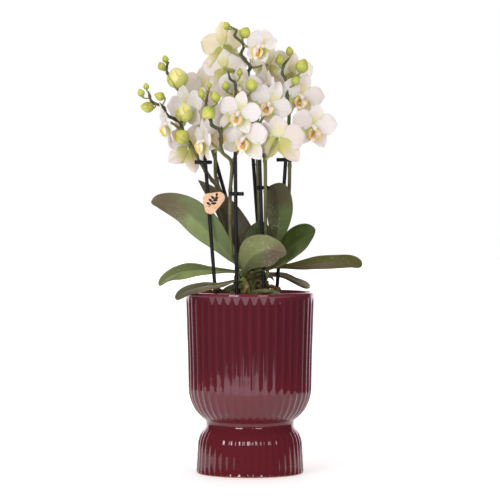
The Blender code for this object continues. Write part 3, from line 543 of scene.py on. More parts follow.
def thick_sheet(shape, middle, thickness, along, across, material=0, kinds=(0.0, 1.0)):
    """A closed skin round a grid of points; the third mark is the first kind in front, the second behind."""
    rows, columns = middle.shape[:2]
    thickness, along, across = (np.broadcast_to(part, (rows, columns)) for part in (thickness, along, across))
    normal = unit(np.cross(np.gradient(middle, axis=1), np.gradient(middle, axis=0)))
    offset = normal * thickness[..., None] / 2
    numbers = np.arange(rows * columns).reshape(rows, columns)
    loop = np.concatenate([numbers[0], numbers[1:, -1], numbers[-1, -2::-1], numbers[-2:0:-1, 0]])
    behind = rows * columns
    rim = np.stack([loop, np.roll(loop, -1), np.roll(loop, -1) + behind, loop + behind], axis=-1)
    quads = grid_faces(rows, columns)
    marks = [np.stack(np.broadcast_arrays(along, across, kind), axis=-1).reshape(-1, 3) for kind in kinds]
    points = np.concatenate([(middle + offset).reshape(-1, 3), (middle - offset).reshape(-1, 3)])
    shape.add(points, np.concatenate(marks), [quads, quads[:, ::-1] + behind, rim], material)


def path_frames(path):
    """Two directions across the path at each point, carried along it without twist."""
    tangents = unit(np.gradient(path, axis=0))
    side = np.array(Vector(tangents[0]).orthogonal().normalized())
    sides = []
    for tangent in tangents:
        side = unit(side - tangent * (side @ tangent))
        sides.append(side)
    sides = np.array(sides)
    return sides, np.cross(tangents, sides)


def add_rings(shape, points, along, angles, kind, material=0):
    """A closed skin through rings of points; its marks are along, the way round, and the kind."""
    marks = np.stack(np.broadcast_arrays(along[:, None], angles / (2 * math.pi), kind), axis=-1)
    shape.add(points, marks, closed_faces(len(points), len(angles)), material)


def tube(shape, path, radii, sides, kind=0.0, material=0, flat_ends=False, tall=1.0):
    """A closed tube along a path, with domed or flat ends; tall stretches its section upwards."""
    path = np.asarray(path, float)
    radii = np.array(np.broadcast_to(np.asarray(radii, float), len(path)))
    if not flat_ends:
        turn = np.radians(DOME_STEPS)
        first, last = unit(path[1] - path[0]), unit(path[-1] - path[-2])
        before = [path[0] - first * radii[0] * math.sin(a) for a in turn]
        after = [path[-1] + last * radii[-1] * math.sin(a) for a in turn[::-1]]
        path = np.concatenate([before, path, after])
        radii = np.concatenate([radii[0] * np.cos(turn), radii, radii[-1] * np.cos(turn[::-1])])
    one, two = path_frames(path)
    angles = round_angles(sides)
    offset = one[:, None] * np.cos(angles)[:, None] + two[:, None] * np.sin(angles)[:, None]
    offset = offset * radii[:, None, None] * (1, 1, tall)
    add_rings(shape, path[:, None] + offset, walked(path) / walked(path)[-1], angles, kind, material)


def rings(height, radius, angles):
    """Points of rings round the upright axis, from columns of heights and radii and a row of angles."""
    parts = np.broadcast_arrays(radius * np.cos(angles), radius * np.sin(angles), height)
    return np.stack(parts, axis=-1)


def turned(shape, profile, sides, kind=0.0):
    """A closed solid of revolution from (height, radius) pairs, bottom to top."""
    height, radius = np.array(profile, float).T[..., None]
    angles = round_angles(sides)
    add_rings(shape, rings(height, radius, angles), np.linspace(0, 1, len(height)), angles, kind)


# ---------------------------------------------------------------- materials


class Graph:
    """A material, with short names for the shader nodes that the looks are made of."""

    def __init__(self, name, **sockets):
        self.material = bpy.data.materials.new(name)
        self.material.use_nodes = True
        self.tree = self.material.node_tree
        self.shader = self.tree.nodes["Principled BSDF"]
        for socket, value in sockets.items():
            self.shader.inputs[socket.replace("_", " ")].default_value = value

    def put(self, value, socket):
        if isinstance(value, bpy.types.NodeSocket):
            self.tree.links.new(value, socket)
        elif isinstance(value, tuple) and len(value) == 3 and socket.type == "RGBA":
            socket.default_value = (*value, 1.0)
        else:
            socket.default_value = value

    def node(self, kind, **inputs):
        """A shader node with its named inputs set or linked."""
        node = self.tree.nodes.new(kind)
        for name, value in inputs.items():
            self.put(value, node.inputs[name])
        return node

    def place(self, stretch=(1.0, 1.0, 1.0)):
        """Where a point is on the object, in metres, stretched for grain that runs one way."""
        place = self.node("ShaderNodeTexCoord").outputs["Object"]
        return self.node("ShaderNodeMapping", Vector=place, Scale=stretch).outputs["Vector"]

    def split(self, vector):
        return self.node("ShaderNodeSeparateXYZ", Vector=vector).outputs

    def marks(self):
        """The piece's own marks: along, across and kind."""
        source = self.node("ShaderNodeAttribute")
        source.attribute_name = "marks"
        return self.split(source.outputs["Vector"])

    def joined(self, x, y):
        return self.node("ShaderNodeCombineXYZ", X=x, Y=y).outputs["Vector"]

    def noise(self, scale, detail=2.0, vector=None, distortion=0.0):
        node = self.node("ShaderNodeTexNoise", Vector=vector or self.place(), Scale=scale,
                         Detail=detail, Distortion=distortion)
        return node.outputs["Fac"]

    def cells(self, scale):
        """Distance to the middle of the nearest cell."""
        return self.node("ShaderNodeTexVoronoi", Vector=self.place(), Scale=scale).outputs["Distance"]

    def math(self, operation, *values):
        node = self.node("ShaderNodeMath")
        node.operation = operation
        for socket, value in zip(node.inputs, values):
            self.put(value, socket)
        return node.outputs[0]

    def times(self, a, b):
        return self.math("MULTIPLY", a, b)

    def plus(self, a, b):
        return self.math("ADD", a, b)

    def rise(self, value, low, high, bottom=0.0, top=1.0):
        """A smooth step from bottom to top as the value goes from low to high."""
        node = self.node("ShaderNodeMapRange")
        node.interpolation_type = "SMOOTHSTEP"
        for socket, given in zip(node.inputs, (value, low, high, bottom, top)):
            self.put(given, socket)
        return node.outputs[0]

    def mix(self, factor, a, b):
        """Colour a where the factor is 0 and colour b where it is 1."""
        node = self.node("ShaderNodeMix")
        node.data_type = "RGBA"
        for number, value in ((0, factor), (6, a), (7, b)):
            self.put(value, node.inputs[number])
        return node.outputs[2]

    def bump(self, height, distance_mm, strength=1.0):
        relief = self.node("ShaderNodeBump", Height=height, Distance=distance_mm * MM, Strength=strength)
        self.tree.links.new(relief.outputs["Normal"], self.shader.inputs["Normal"])

    def finish(self, colour, roughness):
        self.put(colour, self.shader.inputs["Base Color"])
        self.put(roughness, self.shader.inputs["Roughness"])
        return self.material


def glaze_material():
    """Burgundy glaze, lighter on the ribs and darker in the grooves as painted shade; lighter on the upper
    inside wall and at the rim, and redder low on the bowl, as painted light; bare foot edge.
    """
    g = Graph("burgundy_glaze", IOR=1.52, Specular_IOR_Level=0.5)
    along, groove, inner = g.marks()
    cloud = g.noise(28.0, 3.0)
    # Darker in the grooves: painted shade in the flutes
    red = g.mix(g.rise(groove, 0.1, 0.9), (0.101, 0.0168, 0.0235), (0.078, 0.0122, 0.0175))
    red = g.mix(g.rise(cloud, 0.3, 0.75, 0.0, 0.35), red, (0.086, 0.0110, 0.0215))
    # Lighter on the upper inside wall: painted light where the inside lies in shade
    red = g.mix(g.times(inner, g.rise(along, 0.80, 0.90)), red, (0.340, 0.110, 0.130))
    # Lighter band at the rim: painted light on the rim's upward slope
    red = g.mix(g.rise(along, 0.982, 0.990), red, (0.145, 0.022, 0.032))
    # Redder low on the bowl: painted light bounced from the white table
    red = g.mix(g.rise(along, 0.44, 0.62, 1.0, 0.0), red, (0.112, 0.0130, 0.0198))
    specks = g.rise(g.cells(900.0), 0.05, 0.12, 0.35, 0.0)
    red = g.mix(specks, red, (0.040, 0.008, 0.014))
    bare = g.rise(g.split(g.place())["Z"], 0.0006, 0.0009, 1.0, 0.0)
    colour = g.mix(bare, red, (0.62, 0.36, 0.28))
    g.bump(g.noise(60.0, 1.0), 0.08, 0.5)
    return g.finish(colour, g.rise(bare, 0.0, 1.0, 0.03, 0.8))


def clear_plastic_material():
    g = Graph("clear_plastic", Transmission_Weight=0.75, IOR=1.46)
    haze = g.noise(90.0, 3.0)
    g.bump(g.noise(240.0, 1.0), 0.05, 0.4)
    return g.finish(g.mix(g.rise(haze, 0.4, 0.7), (0.78, 0.80, 0.76), (0.70, 0.72, 0.66)),
                    g.rise(haze, 0.3, 0.7, 0.16, 0.32))


def bark_material(name, light, dark):
    g = Graph(name)
    _, _, kind = g.marks()
    grain = g.noise(260.0, 4.0, g.place((1.0, 1.0, 3.0)), 1.2)
    colour = g.mix(g.rise(grain, 0.35, 0.68), dark, light)
    patches = g.rise(g.noise(70.0, 2.0), 0.5, 0.68)
    colour = g.mix(g.times(patches, 0.55), colour, (0.42, 0.20, 0.075))
    colour = g.mix(g.times(kind, 0.45), colour, (0.030, 0.020, 0.014))
    g.bump(grain, 0.5, 0.9)
    return g.finish(colour, g.rise(grain, 0.3, 0.7, 0.95, 0.72))


def cotton_material():
    g = Graph("wick_cotton", Sheen_Weight=0.4)
    along, across, _ = g.marks()
    fibres = g.noise(60.0, 3.0, g.joined(g.times(along, 9.0), across))
    fuzz = g.noise(1500.0, 2.0)
    g.bump(g.plus(fibres, fuzz), 0.15, 0.7)
    return g.finish(g.mix(g.rise(fibres, 0.3, 0.7), (0.60, 0.54, 0.43), (0.83, 0.79, 0.70)), 0.9)


def black_plastic_material():
    g = Graph("black_plastic", Specular_IOR_Level=0.3)
    grain = g.noise(500.0, 3.0, g.place((1.0, 1.0, 0.08)))
    wear = g.rise(g.noise(120.0, 4.0), 0.55, 0.75)
    colour = g.mix(g.times(wear, 0.5), (0.010, 0.0090, 0.0095), (0.036, 0.032, 0.034))
    g.bump(grain, 0.05, 0.5)
    return g.finish(colour, g.rise(grain, 0.3, 0.7, 0.30, 0.46))


def tag_wood_material():
    g = Graph("tag_wood")
    grain = g.noise(150.0, 5.0, g.place((1.0, 1.0, 7.0)), 0.6)
    fine = g.noise(900.0, 2.0, g.place((0.15, 1.0, 4.0)))
    colour = g.mix(g.rise(grain, 0.3, 0.7), (0.86, 0.60, 0.38), (0.70, 0.42, 0.23))
    colour = g.mix(g.rise(fine, 0.55, 0.8, 0.0, 0.35), colour, (0.45, 0.24, 0.12))
    g.bump(fine, 0.06, 0.6)
    return g.finish(colour, g.rise(fine, 0.3, 0.7, 0.5, 0.68))


def tag_ink_material():
    g = Graph("tag_ink")
    burn = g.noise(700.0, 3.0)
    return g.finish(g.mix(g.rise(burn, 0.3, 0.7), (0.012, 0.009, 0.008), (0.040, 0.026, 0.018)), 0.75)


def leaf_material(name, left, right, under_left, under_right, tip, tip_start, lean, gloss, scuffed):
    """A leathery leaf: halves of two tones, partly their own colour and partly painted light and shade;
    a midrib darkened as painted shade; fine parallel veins, mottling, a browned tip and margin, scuffs.
    """
    g = Graph(name + "_skin", Coat_Weight=0.03, Coat_Roughness=0.25, IOR=1.46, Specular_IOR_Level=0.24)
    along, across, side = g.marks()
    wide = g.math("ABSOLUTE", across)
    half = g.rise(across, -0.07, 0.07)
    cloud = g.noise(75.0, 3.0)
    # Two tones for the halves: partly their own colour, partly painted light and shade, one half lit and the
    # other shaded
    colour = g.mix(half, left, right)
    colour = g.mix(g.rise(cloud, 0.38, 0.72, 0.0, 0.4), colour, g.mix(0.5, colour, (0.155, 0.135, 0.050)))
    # Darker along the midrib: painted shade in its crease
    colour = g.mix(g.rise(wide, 0.0, 0.075, 0.45, 0.0), colour, (0.045, 0.060, 0.022))
    back = g.mix(half, under_left, under_right)
    back = g.mix(g.rise(cloud, 0.40, 0.7, 0.0, 0.7), back, g.mix(0.35, back, (0.12, 0.075, 0.050)))
    back = g.mix(g.rise(wide, 0.0, 0.05, 0.5, 0.0), back, g.mix(0.5, back, (0.22, 0.25, 0.11)))
    colour = g.mix(g.rise(side, 0.4, 0.6), colour, back)
    mottled = g.mix(0.5, colour, (0.040, 0.055, 0.022))
    colour = g.mix(g.rise(g.noise(210.0, 4.0), 0.52, 0.74, 0.0, 0.3), colour, mottled)
    browning = g.plus(along, g.times(across, lean))
    browning = g.plus(browning, g.times(cloud, 0.35))
    colour = g.mix(g.rise(browning, tip_start + 0.17, tip_start + 0.45, 0.0, 0.9), colour, tip)
    veins = g.math("SINE", g.times(across, 58.0))
    colour = g.mix(g.rise(veins, 0.2, 1.0, 0.0, 0.10), colour, (0.22, 0.27, 0.11))
    ends = g.rise(along, 0.0, 0.16, 1.0, 0.0)
    colour = g.mix(g.times(ends, 0.7), colour, (0.17, 0.23, 0.05))
    colour = g.mix(g.rise(wide, 0.955, 0.995, 0.0, 0.75), colour, (0.105, 0.055, 0.030))
    scratches = g.noise(260.0, 7.0, g.place((1.0, 1.0, 1.8)), 2.6)
    scuffs = g.times(g.rise(g.noise(38.0, 2.0), 0.50, 0.62), g.rise(scratches, 0.57, 0.63))
    colour = g.mix(g.times(scuffs, scuffed * 0.8), colour, (0.40, 0.41, 0.34))
    relief = g.plus(g.times(veins, 0.06), g.times(g.noise(330.0, 3.0), 0.6))
    g.bump(relief, 0.35, 0.55)
    rough = g.plus(g.rise(cloud, 0.3, 0.7, gloss - 0.05, gloss + 0.08), g.times(side, 0.12))
    return g.finish(colour, rough)


def sheath_material(name, foot, top):
    """Fleshy sheath with dry stripes and a dry upper edge; its colour runs from the foot to the top."""
    g = Graph(name, Coat_Weight=0.1)
    along, across, _ = g.marks()
    stripes = g.noise(70.0, 3.0, g.joined(g.times(across, 1.6), g.times(along, 0.12)))
    colour = g.mix(g.rise(along, 0.1, 0.9), foot, top)
    colour = g.mix(g.rise(stripes, 0.5, 0.7, 0.0, 0.55), colour, (0.300, 0.235, 0.100))
    dry = g.times(g.rise(along, 0.93, 1.0), g.rise(g.noise(90.0), 0.3, 0.6))
    colour = g.mix(dry, colour, (0.36, 0.26, 0.15))
    g.bump(stripes, 0.25, 0.7)
    return g.finish(colour, 0.46)


def root_material():
    """Grey-green root skin with brown scars and a fresh green tip; kind 1 is an old, brown root."""
    g = Graph("aerial_root_skin")
    along, _, kind = g.marks()
    skin = g.noise(130.0, 3.0)
    colour = g.mix(g.rise(skin, 0.35, 0.65), (0.190, 0.225, 0.090), (0.085, 0.125, 0.035))
    colour = g.mix(g.rise(g.noise(60.0, 3.0), 0.58, 0.72, 0.0, 0.8), colour, (0.20, 0.12, 0.06))
    colour = g.mix(g.rise(along, 0.88, 0.97), colour, (0.22, 0.30, 0.06))
    colour = g.mix(kind, colour, (0.13, 0.075, 0.035))
    g.bump(g.noise(500.0, 3.0), 0.15, 0.6)
    return g.finish(colour, g.rise(skin, 0.3, 0.7, 0.42, 0.62))


def stem_material():
    """Olive to brown stem; the flowers' stalks, kind 1, are lighter; bracts, kind 2, are dry and brown."""
    g = Graph("spike_skin", Coat_Weight=0.08)
    along, _, kind = g.marks()
    blotch = g.noise(110.0, 3.0, g.place((1.0, 1.0, 0.35)))
    stem = g.mix(g.rise(blotch, 0.38, 0.62), (0.104, 0.120, 0.032), (0.070, 0.068, 0.023))
    stem = g.mix(g.rise(along, 0.0, 0.3, 0.4, 0.0), stem, (0.150, 0.210, 0.060))
    stalk = g.mix(g.rise(g.noise(160.0), 0.4, 0.7), (0.300, 0.310, 0.065), (0.195, 0.210, 0.050))
    scale = g.mix(g.rise(g.noise(300.0), 0.4, 0.6), (0.170, 0.120, 0.060), (0.085, 0.060, 0.035))
    colour = g.mix(g.rise(kind, 0.1, 0.9), stem, stalk)
    colour = g.mix(g.rise(kind, 1.2, 1.8), colour, scale)
    g.bump(g.noise(700.0, 3.0), 0.08, 0.5)
    return g.finish(colour, g.rise(blotch, 0.3, 0.7, 0.40, 0.52))


def bud_material():
    """Yellow-green bud skin, browned along its seams and in patches; kind 1 is a ripe bud, and paler."""
    g = Graph("bud_skin", Subsurface_Weight=0.15, Subsurface_Scale=0.002, Coat_Weight=0.1)
    along, seam, kind = g.marks()
    colour = g.mix(g.rise(along, 0.05, 0.75), (0.290, 0.370, 0.055), (0.610, 0.630, 0.115))
    ripe = g.mix(g.rise(along, 0.0, 0.6), (0.610, 0.630, 0.160), (0.880, 0.850, 0.320))
    colour = g.mix(kind, colour, ripe)
    veins = g.noise(140.0, 2.0, g.place((1.0, 1.0, 0.4)))
    colour = g.mix(g.rise(veins, 0.45, 0.75, 0.0, 0.35), colour, (0.230, 0.300, 0.045))
    blush = g.times(g.rise(g.noise(95.0, 2.0), 0.45, 0.7), g.rise(kind, 0.0, 1.0, 0.30, 0.05))
    colour = g.mix(blush, colour, (0.270, 0.140, 0.055))
    colour = g.mix(g.rise(seam, 0.35, 1.0, 0.0, 0.6), colour, (0.230, 0.210, 0.040))
    g.bump(g.noise(600.0, 2.0), 0.07, 0.5)
    return g.finish(colour, g.rise(veins, 0.3, 0.7, 0.38, 0.5))


def tepal_material(name, base, base_reach, back_tint, back_reach, white):
    """White skin of a tepal with fine veins, tinted at its base, along its middle and behind."""
    g = Graph(name, Subsurface_Weight=0.2, Subsurface_Scale=0.0025, IOR=1.4)
    along, across, side = g.marks()
    wide = g.math("ABSOLUTE", across)
    cloud = g.noise(70.0, 2.0)
    white = g.mix(g.rise(cloud, 0.35, 0.7), white, g.mix(0.12, white, (0.70, 0.50, 0.52)))
    fan = g.times(across, g.plus(15.0, g.times(along, 5.0)))
    veins = g.math("SINE", g.plus(fan, g.times(g.noise(90.0, 2.0), 2.5)))
    colour = g.mix(g.rise(veins, 0.35, 1.0, 0.0, 0.16), white, g.mix(0.5, white, (0.620, 0.470, 0.400)))
    near = g.rise(along, base_reach * 0.25, base_reach * 1.15, 1.0, 0.0)
    middle = g.times(g.rise(wide, 0.0, 0.5, 0.8, 0.0), g.rise(along, 0.3, 1.0, 0.8, 0.25))
    amount = g.math("MAXIMUM", near, g.times(middle, base_reach))
    colour = g.mix(amount, colour, base)
    behind = g.rise(along, back_reach * 0.3, back_reach * 1.4, 1.0, 0.0)
    behind = g.times(behind, g.rise(wide, 0.45, 1.0, 1.0, 0.45))
    rear = g.mix(g.math("MAXIMUM", behind, g.times(middle, 0.65)), colour, back_tint)
    colour = g.mix(g.rise(side, 0.4, 0.6), colour, rear)
    g.bump(g.plus(g.times(veins, 0.35), g.noise(420.0, 2.0)), 0.10, 0.5)
    return g.finish(colour, 0.52)


def lip_material():
    """Side lobes: golden rims, pale inside, red-brown bars towards their roots."""
    g = Graph("lip_skin", Subsurface_Weight=0.15, Subsurface_Scale=0.0015)
    along, across, _ = g.marks()
    colour = g.mix(g.rise(across, 0.72, 0.90), (0.920, 0.900, 0.760), (0.880, 0.620, 0.070))
    bars = g.rise(g.math("SINE", g.times(along, 34.0)), 0.1, 0.7)
    bars = g.times(bars, g.rise(across, 0.05, 0.45, 0.55, 0.0))
    colour = g.mix(bars, colour, (0.330, 0.080, 0.030))
    colour = g.mix(g.rise(along, 0.0, 0.2, 0.35, 0.0), colour, (0.420, 0.500, 0.120))
    g.bump(g.noise(700.0, 2.0), 0.06, 0.5)
    return g.finish(colour, 0.45)


def lip_tip_material():
    g = Graph("lip_tip_skin", Subsurface_Weight=0.15, Subsurface_Scale=0.0015)
    along, _, _ = g.marks()
    colour = g.mix(g.rise(along, 0.15, 0.6), (0.880, 0.430, 0.050), (0.890, 0.870, 0.700))
    spots = g.rise(g.cells(1400.0), 0.25, 0.4, 1.0, 0.0)
    spots = g.times(spots, g.rise(along, 0.2, 0.5, 0.7, 0.0))
    g.bump(g.noise(700.0, 2.0), 0.06, 0.5)
    return g.finish(g.mix(spots, colour, (0.300, 0.070, 0.020)), 0.45)


def callus_material():
    g = Graph("callus_skin", Coat_Weight=0.3)
    spots = g.rise(g.cells(1500.0), 0.2, 0.42, 1.0, 0.0)
    colour = g.mix(g.rise(g.noise(500.0), 0.4, 0.6), (0.760, 0.260, 0.025), (0.780, 0.500, 0.100))
    g.bump(g.noise(1200.0), 0.1, 0.6)
    return g.finish(g.mix(g.times(spots, 0.8), colour, (0.260, 0.060, 0.020)), 0.4)


def column_material():
    """The column: white, green at its root, with a salmon cap at its end."""
    g = Graph("column_skin", Subsurface_Weight=0.2, Subsurface_Scale=0.0015)
    along, _, _ = g.marks()
    colour = g.mix(g.rise(along, 0.0, 0.45), (0.560, 0.620, 0.260), (0.880, 0.840, 0.780))
    colour = g.mix(g.rise(along, 0.84, 0.97, 0.0, 0.65), colour, (0.860, 0.520, 0.420))
    g.bump(g.noise(900.0), 0.05, 0.4)
    return g.finish(colour, 0.42)


# ---------------------------------------------------------------- pots, bark and wick


def groove_share(height, turns):
    """Depth of the concave flutes, as a share of the full depth; turns counts flutes round the pot."""
    off_middle = 2 * np.abs(turns - np.floor(turns) - 0.5)
    hollow = 1 - off_middle**2 / (1 - FLUTE_RIDGE)
    ridge = (1 - off_middle) ** 2 / FLUTE_RIDGE
    section = np.where(off_middle < 1 - FLUTE_RIDGE, hollow, ridge)
    depth = np.zeros((height + turns).shape)
    for low, high, low_end, high_end, deep in FLUTE_RUNS:
        rounded = section * (1 - np.clip(1 - (height - low) / low_end, 0, 1) ** 2)
        slope = (high - height) / high_end
        near = np.clip(FLUTE_END_BLEND - np.abs(rounded - slope), 0, None)
        cut = np.minimum(rounded, slope) - near**2 / (4 * FLUTE_END_BLEND)
        depth = np.maximum(depth, deep * cut)
    return depth


def ceramic_pot():
    columns = FLUTES * COLUMNS_PER_FLUTE
    angles = round_angles(columns)
    fine = smooth_curve([(z, r, 0) for z, r in POT_OUTSIDE], CURVE_STEPS)
    rows = np.concatenate([np.linspace(*run) for run in POT_ROWS])
    outside = np.column_stack([rows, np.interp(rows, fine[:, 0], fine[:, 1])])
    profile = np.concatenate([POT_UNDERSIDE, outside, POT_INSIDE])
    height, radius = profile.T[..., None]
    fluted = np.zeros((len(profile), 1))
    fluted[len(POT_UNDERSIDE):len(POT_UNDERSIDE) + len(outside)] = 1
    share = groove_share(height, FLUTES * (angles / (2 * math.pi) + 0.25)) * fluted
    off_seam = np.min([np.abs(angles - math.radians(heading)) for heading in SEAM_HEADINGS], axis=0)
    seam = np.where(off_seam < math.radians(SEAM_HALF_WIDTH), SEAM_HEIGHT, 0) * fluted * (height < SEAM_TOP_Z)
    points = rings(height, radius - FLUTE_DEPTH * share + seam, angles)
    marks = np.stack(np.broadcast_arrays(height / POT_OUTSIDE[-1][0], share, 1 - fluted), axis=-1)
    shape = Shape()
    shape.add(points, marks, closed_faces(len(profile), columns))
    add_piece("ceramic_pot", shape, [glaze_material()], ["decorative_pot"], sharp=60)


def clear_nursery_pot():
    """One skin that runs up the wall's outside, over the rim, down its inside and through the wick's hole."""
    base, rim = LEDGE_Z + 0.3, NURSERY_RIM_Z
    low = NURSERY_BASE_RADIUS - 0.4
    profile = np.array([
        (base, WICK_HOLE_RADIUS), (base, NURSERY_FOOT_RADIUS), (base + 1.5, 35.0), (base + 3.0, low),
        (rim - 8.0, 43.0), (rim - 7.5, 43.9), (rim - 1.0, 44.6), (rim - 0.3, NURSERY_RIM_RADIUS),
        (rim, NURSERY_RIM_RADIUS - 0.3), (rim - 0.2, 44.0), (rim - 7.5, 43.2), (rim - 8.5, 42.3),
        (base + 3.0, low - NURSERY_WALL), (base + NURSERY_WALL, NURSERY_FOOT_RADIUS - NURSERY_WALL),
        (base + NURSERY_WALL, WICK_HOLE_RADIUS),
    ])
    height, radius = profile.T[..., None]
    faces = grid_faces(len(profile) + 1, NURSERY_SIDES, wrap=True) % (len(profile) * NURSERY_SIDES)
    shape = Shape()
    shape.add(rings(height, radius, round_angles(NURSERY_SIDES)), (0, 0, 0), [faces])
    surfaces = [clear_plastic_material()]
    add_piece("clear_nursery_pot", shape, surfaces, ["nursery_pot"], sharp=45)


def mound_height(radius):
    """Height of the bark's surface at this distance from the middle."""
    return float(np.interp(radius, MOUND_RADII, MOUND_HEIGHTS))


def bark_chip(shape, centre, size, turn, rng):
    """One chip: a block whose edges and faces are roughened, lying on the mound."""
    steps = 4
    side = np.linspace(-1, 1, steps)
    points, index, faces = [], {}, []

    def number(p):
        key = tuple(np.round(p, 5))
        if key not in index:
            index[key] = len(points)
            points.append(np.array(p, float))
        return index[key]

    for axis in range(3):
        others = [k for k in range(3) if k != axis]
        for end in (-1.0, 1.0):
            for i in range(steps - 1):
                for j in range(steps - 1):
                    corners = []
                    for a, b in ((i, j), (i + 1, j), (i + 1, j + 1), (i, j + 1)):
                        p = [0.0, 0.0, 0.0]
                        p[axis], p[others[0]], p[others[1]] = end, side[a], side[b]
                        corners.append(number(p))
                    faces.append(corners)
    points = np.array(points)
    points *= 1 - 0.10 * (np.abs(points) > 0.99).sum(axis=1, keepdims=True) ** 1.2 / 2
    points += np.array([[rng.uniform(-0.14, 0.14) for _ in range(3)] for _ in points])
    points[:, 0] += 0.18 * points[:, 1] * rng.uniform(-1, 1)
    points = (points * size) @ np.array(turn).T + centre
    shape.add(points, (rng.random(), rng.random(), rng.random()), [faces])


def bark():
    rng = random.Random(41)
    bed = [(LEDGE_Z + 2.0, 34.0), (NURSERY_RIM_Z - 12.0, 41.2)] + [(mound_height(r), r) for r in MOUND_RINGS]
    shape = Shape()
    turned(shape, bed, 60, kind=1.0)
    light, dark = bark_material("bark_light", *BARK_LIGHT), bark_material("bark_dark", *BARK_DARK)
    add_piece("bark_bed", shape, [dark], ["bark_mix"])
    for name, surface, count in zip(("bark_chips_light", "bark_chips_dark"), (light, dark), BARK_COUNTS):
        shape = Shape()
        for _ in range(count):
            radius, heading = BARK_REACH * math.sqrt(rng.uniform(0.03, 1.0)), rng.uniform(0, 2 * math.pi)
            size = np.array([rng.uniform(3.4, 6.6), rng.uniform(2.2, 4.2), rng.uniform(1.2, 2.4)])
            turn = Matrix.Rotation(rng.uniform(0, 2 * math.pi), 3, "Z")
            turn = turn @ Matrix.Rotation(rng.gauss(0, 0.35), 3, "X")
            turn = turn @ Matrix.Rotation(rng.gauss(0, 0.3), 3, "Y")
            height = mound_height(radius) + rng.uniform(-0.5, 4.0)
            centre = (radius * math.cos(heading), radius * math.sin(heading), height)
            bark_chip(shape, centre, size, turn, rng)
        for middle in RIM_CHIPS:
            size = np.array([rng.uniform(4.0, 5.5), rng.uniform(2.4, 3.4), rng.uniform(1.5, 2.4)])
            turn = Matrix.Rotation(rng.uniform(0, 6), 3, "Z") @ Matrix.Rotation(rng.gauss(0, 0.5), 3, "X")
            centre = np.array(middle) + [rng.uniform(-2.5, 2.5) for _ in range(3)]
            bark_chip(shape, centre, size, turn, rng)
        add_piece(name, shape, [surface], ["bark_mix"], sharp=32)


def wick():
    """Three strands twisted round a path that is folded over a pin; each end is a loose tuft."""
    half = WICK_HALF_SPREAD
    bend = [(half * math.cos(a), 0, WICK_FOLD_Z + half * math.sin(a)) for a in np.linspace(0, math.pi, 9)]
    legs = np.linspace(WICK_END_Z, WICK_FOLD_Z, 8)[:-1]
    route = [(half, 0, z) for z in legs] + bend + [(-half, 0, z) for z in legs[::-1]]
    path = smooth_path(route, 240)
    one, two = path_frames(path)
    distance = walked(path)
    to_end = np.minimum(distance, distance[-1] - distance)
    flare = 1 + TUFT_FLARE * np.exp(-((to_end / TUFT_LENGTH) ** 2))
    shape = Shape()
    for strand in range(STRANDS):
        twist = distance * 2 * math.pi / WICK_TWIST + strand * 2 * math.pi / STRANDS
        offset = one * np.cos(twist)[:, None] + two * np.sin(twist)[:, None]
        tube(shape, path + offset * (STRAND_OFFSET * flare)[:, None], STRAND_RADIUS * flare, 9)
    add_piece("wick_rope", shape, [cotton_material()], ["water_wick"])


# ---------------------------------------------------------------- stakes, clips and tag


def stake_point(number, z):
    top, bottom = (np.array(p, float) for p in STAKES[number])
    return bottom + (top - bottom) * (z - bottom[2]) / (top[2] - bottom[2])


def stakes(black):
    for number, (top, bottom) in enumerate(STAKES, 1):
        top, bottom = np.array(top, float), np.array(bottom, float)
        along = unit(top - bottom)
        length = np.linalg.norm(top - bottom)
        shaft = np.linspace(12.0, length - 1.0, 24)
        places = np.concatenate([STAKE_POINT[0], shaft, [length - STAKE_BEVEL, length]])
        radii = np.full(len(places), STAKE_RADIUS)
        radii[:len(STAKE_POINT[1])] = STAKE_POINT[1]
        radii[-1] = STAKE_RADIUS - STAKE_BEVEL
        shape = Shape()
        tube(shape, bottom + along * places[:, None], radii, 20, flat_ends=True)
        add_piece(f"plant_stake_{number}", shape, [black], [f"stake_{number}"], sharp=40)


def clips(black):
    """Each clip is a split ring on its stake, a flat arm, and an open jaw for what it holds."""
    for number, (stake, z, heading, arm) in enumerate(CLIPS, 1):
        centre = stake_point(stake, z)
        start = math.radians(heading)
        out = np.array([math.cos(start), math.sin(start), 0])
        side = np.array([-math.sin(start), math.cos(start), 0])
        radius = STAKE_RADIUS + 0.3 + CLIP_RADIUS
        ring = [centre + radius * (math.cos(a) * out + math.sin(a) * side)
                for a in np.linspace(math.radians(200), math.radians(30), 22)]
        arm_path = [ring[-1] + out * arm * t for t in np.linspace(0.1, 1.0, 5)]
        radii = [CLIP_RADIUS] * (len(ring) + 4) + [CLIP_RADIUS * 1.15]
        shape = Shape()
        tube(shape, ring + arm_path, radii, 16, tall=CLIP_TALL)
        jaw_centre = ring[-1] + out * (arm - JAW_RADIUS) - side * 2.2
        jaw = [jaw_centre + JAW_RADIUS * (math.cos(a) * out + math.sin(a) * side)
               for a in np.linspace(math.radians(95), math.radians(-120), 14)]
        tube(shape, jaw, np.linspace(0.8, 0.55, len(jaw)), 12, tall=CLIP_TALL)
        thumb = [ring[0] + side * 0.2, ring[0] - out * 1.6 - side * 0.6, ring[0] - out * 2.6 - side * 0.4]
        tube(shape, thumb, (0.85, 0.8, 0.75), 12, tall=1.1 * CLIP_TALL)
        add_piece(f"spike_clip_{number}", shape, [black], [f"clip_{number}"])


def tag_outline(inset):
    """The rounded triangle, each corner an arc, drawn in by the inset."""
    corners = [Vector((x, 0, z)) for x, z in TAG_CORNERS]
    middle = sum(corners, Vector()) / 3
    outline = []
    for k, corner in enumerate(corners):
        before, after = corners[k - 1], corners[(k + 1) % 3]
        first = math.atan2((corner - before).x, -(corner - before).z)
        last = math.atan2((after - corner).x, -(after - corner).z)
        while last > first:
            last -= 2 * math.pi
        for a in np.linspace(first, last, 14):
            arc = Vector((math.cos(a), 0, math.sin(a))) * (TAG_ROUND - inset)
            outline.append(np.array(corner + arc - middle))
    return np.array(outline)


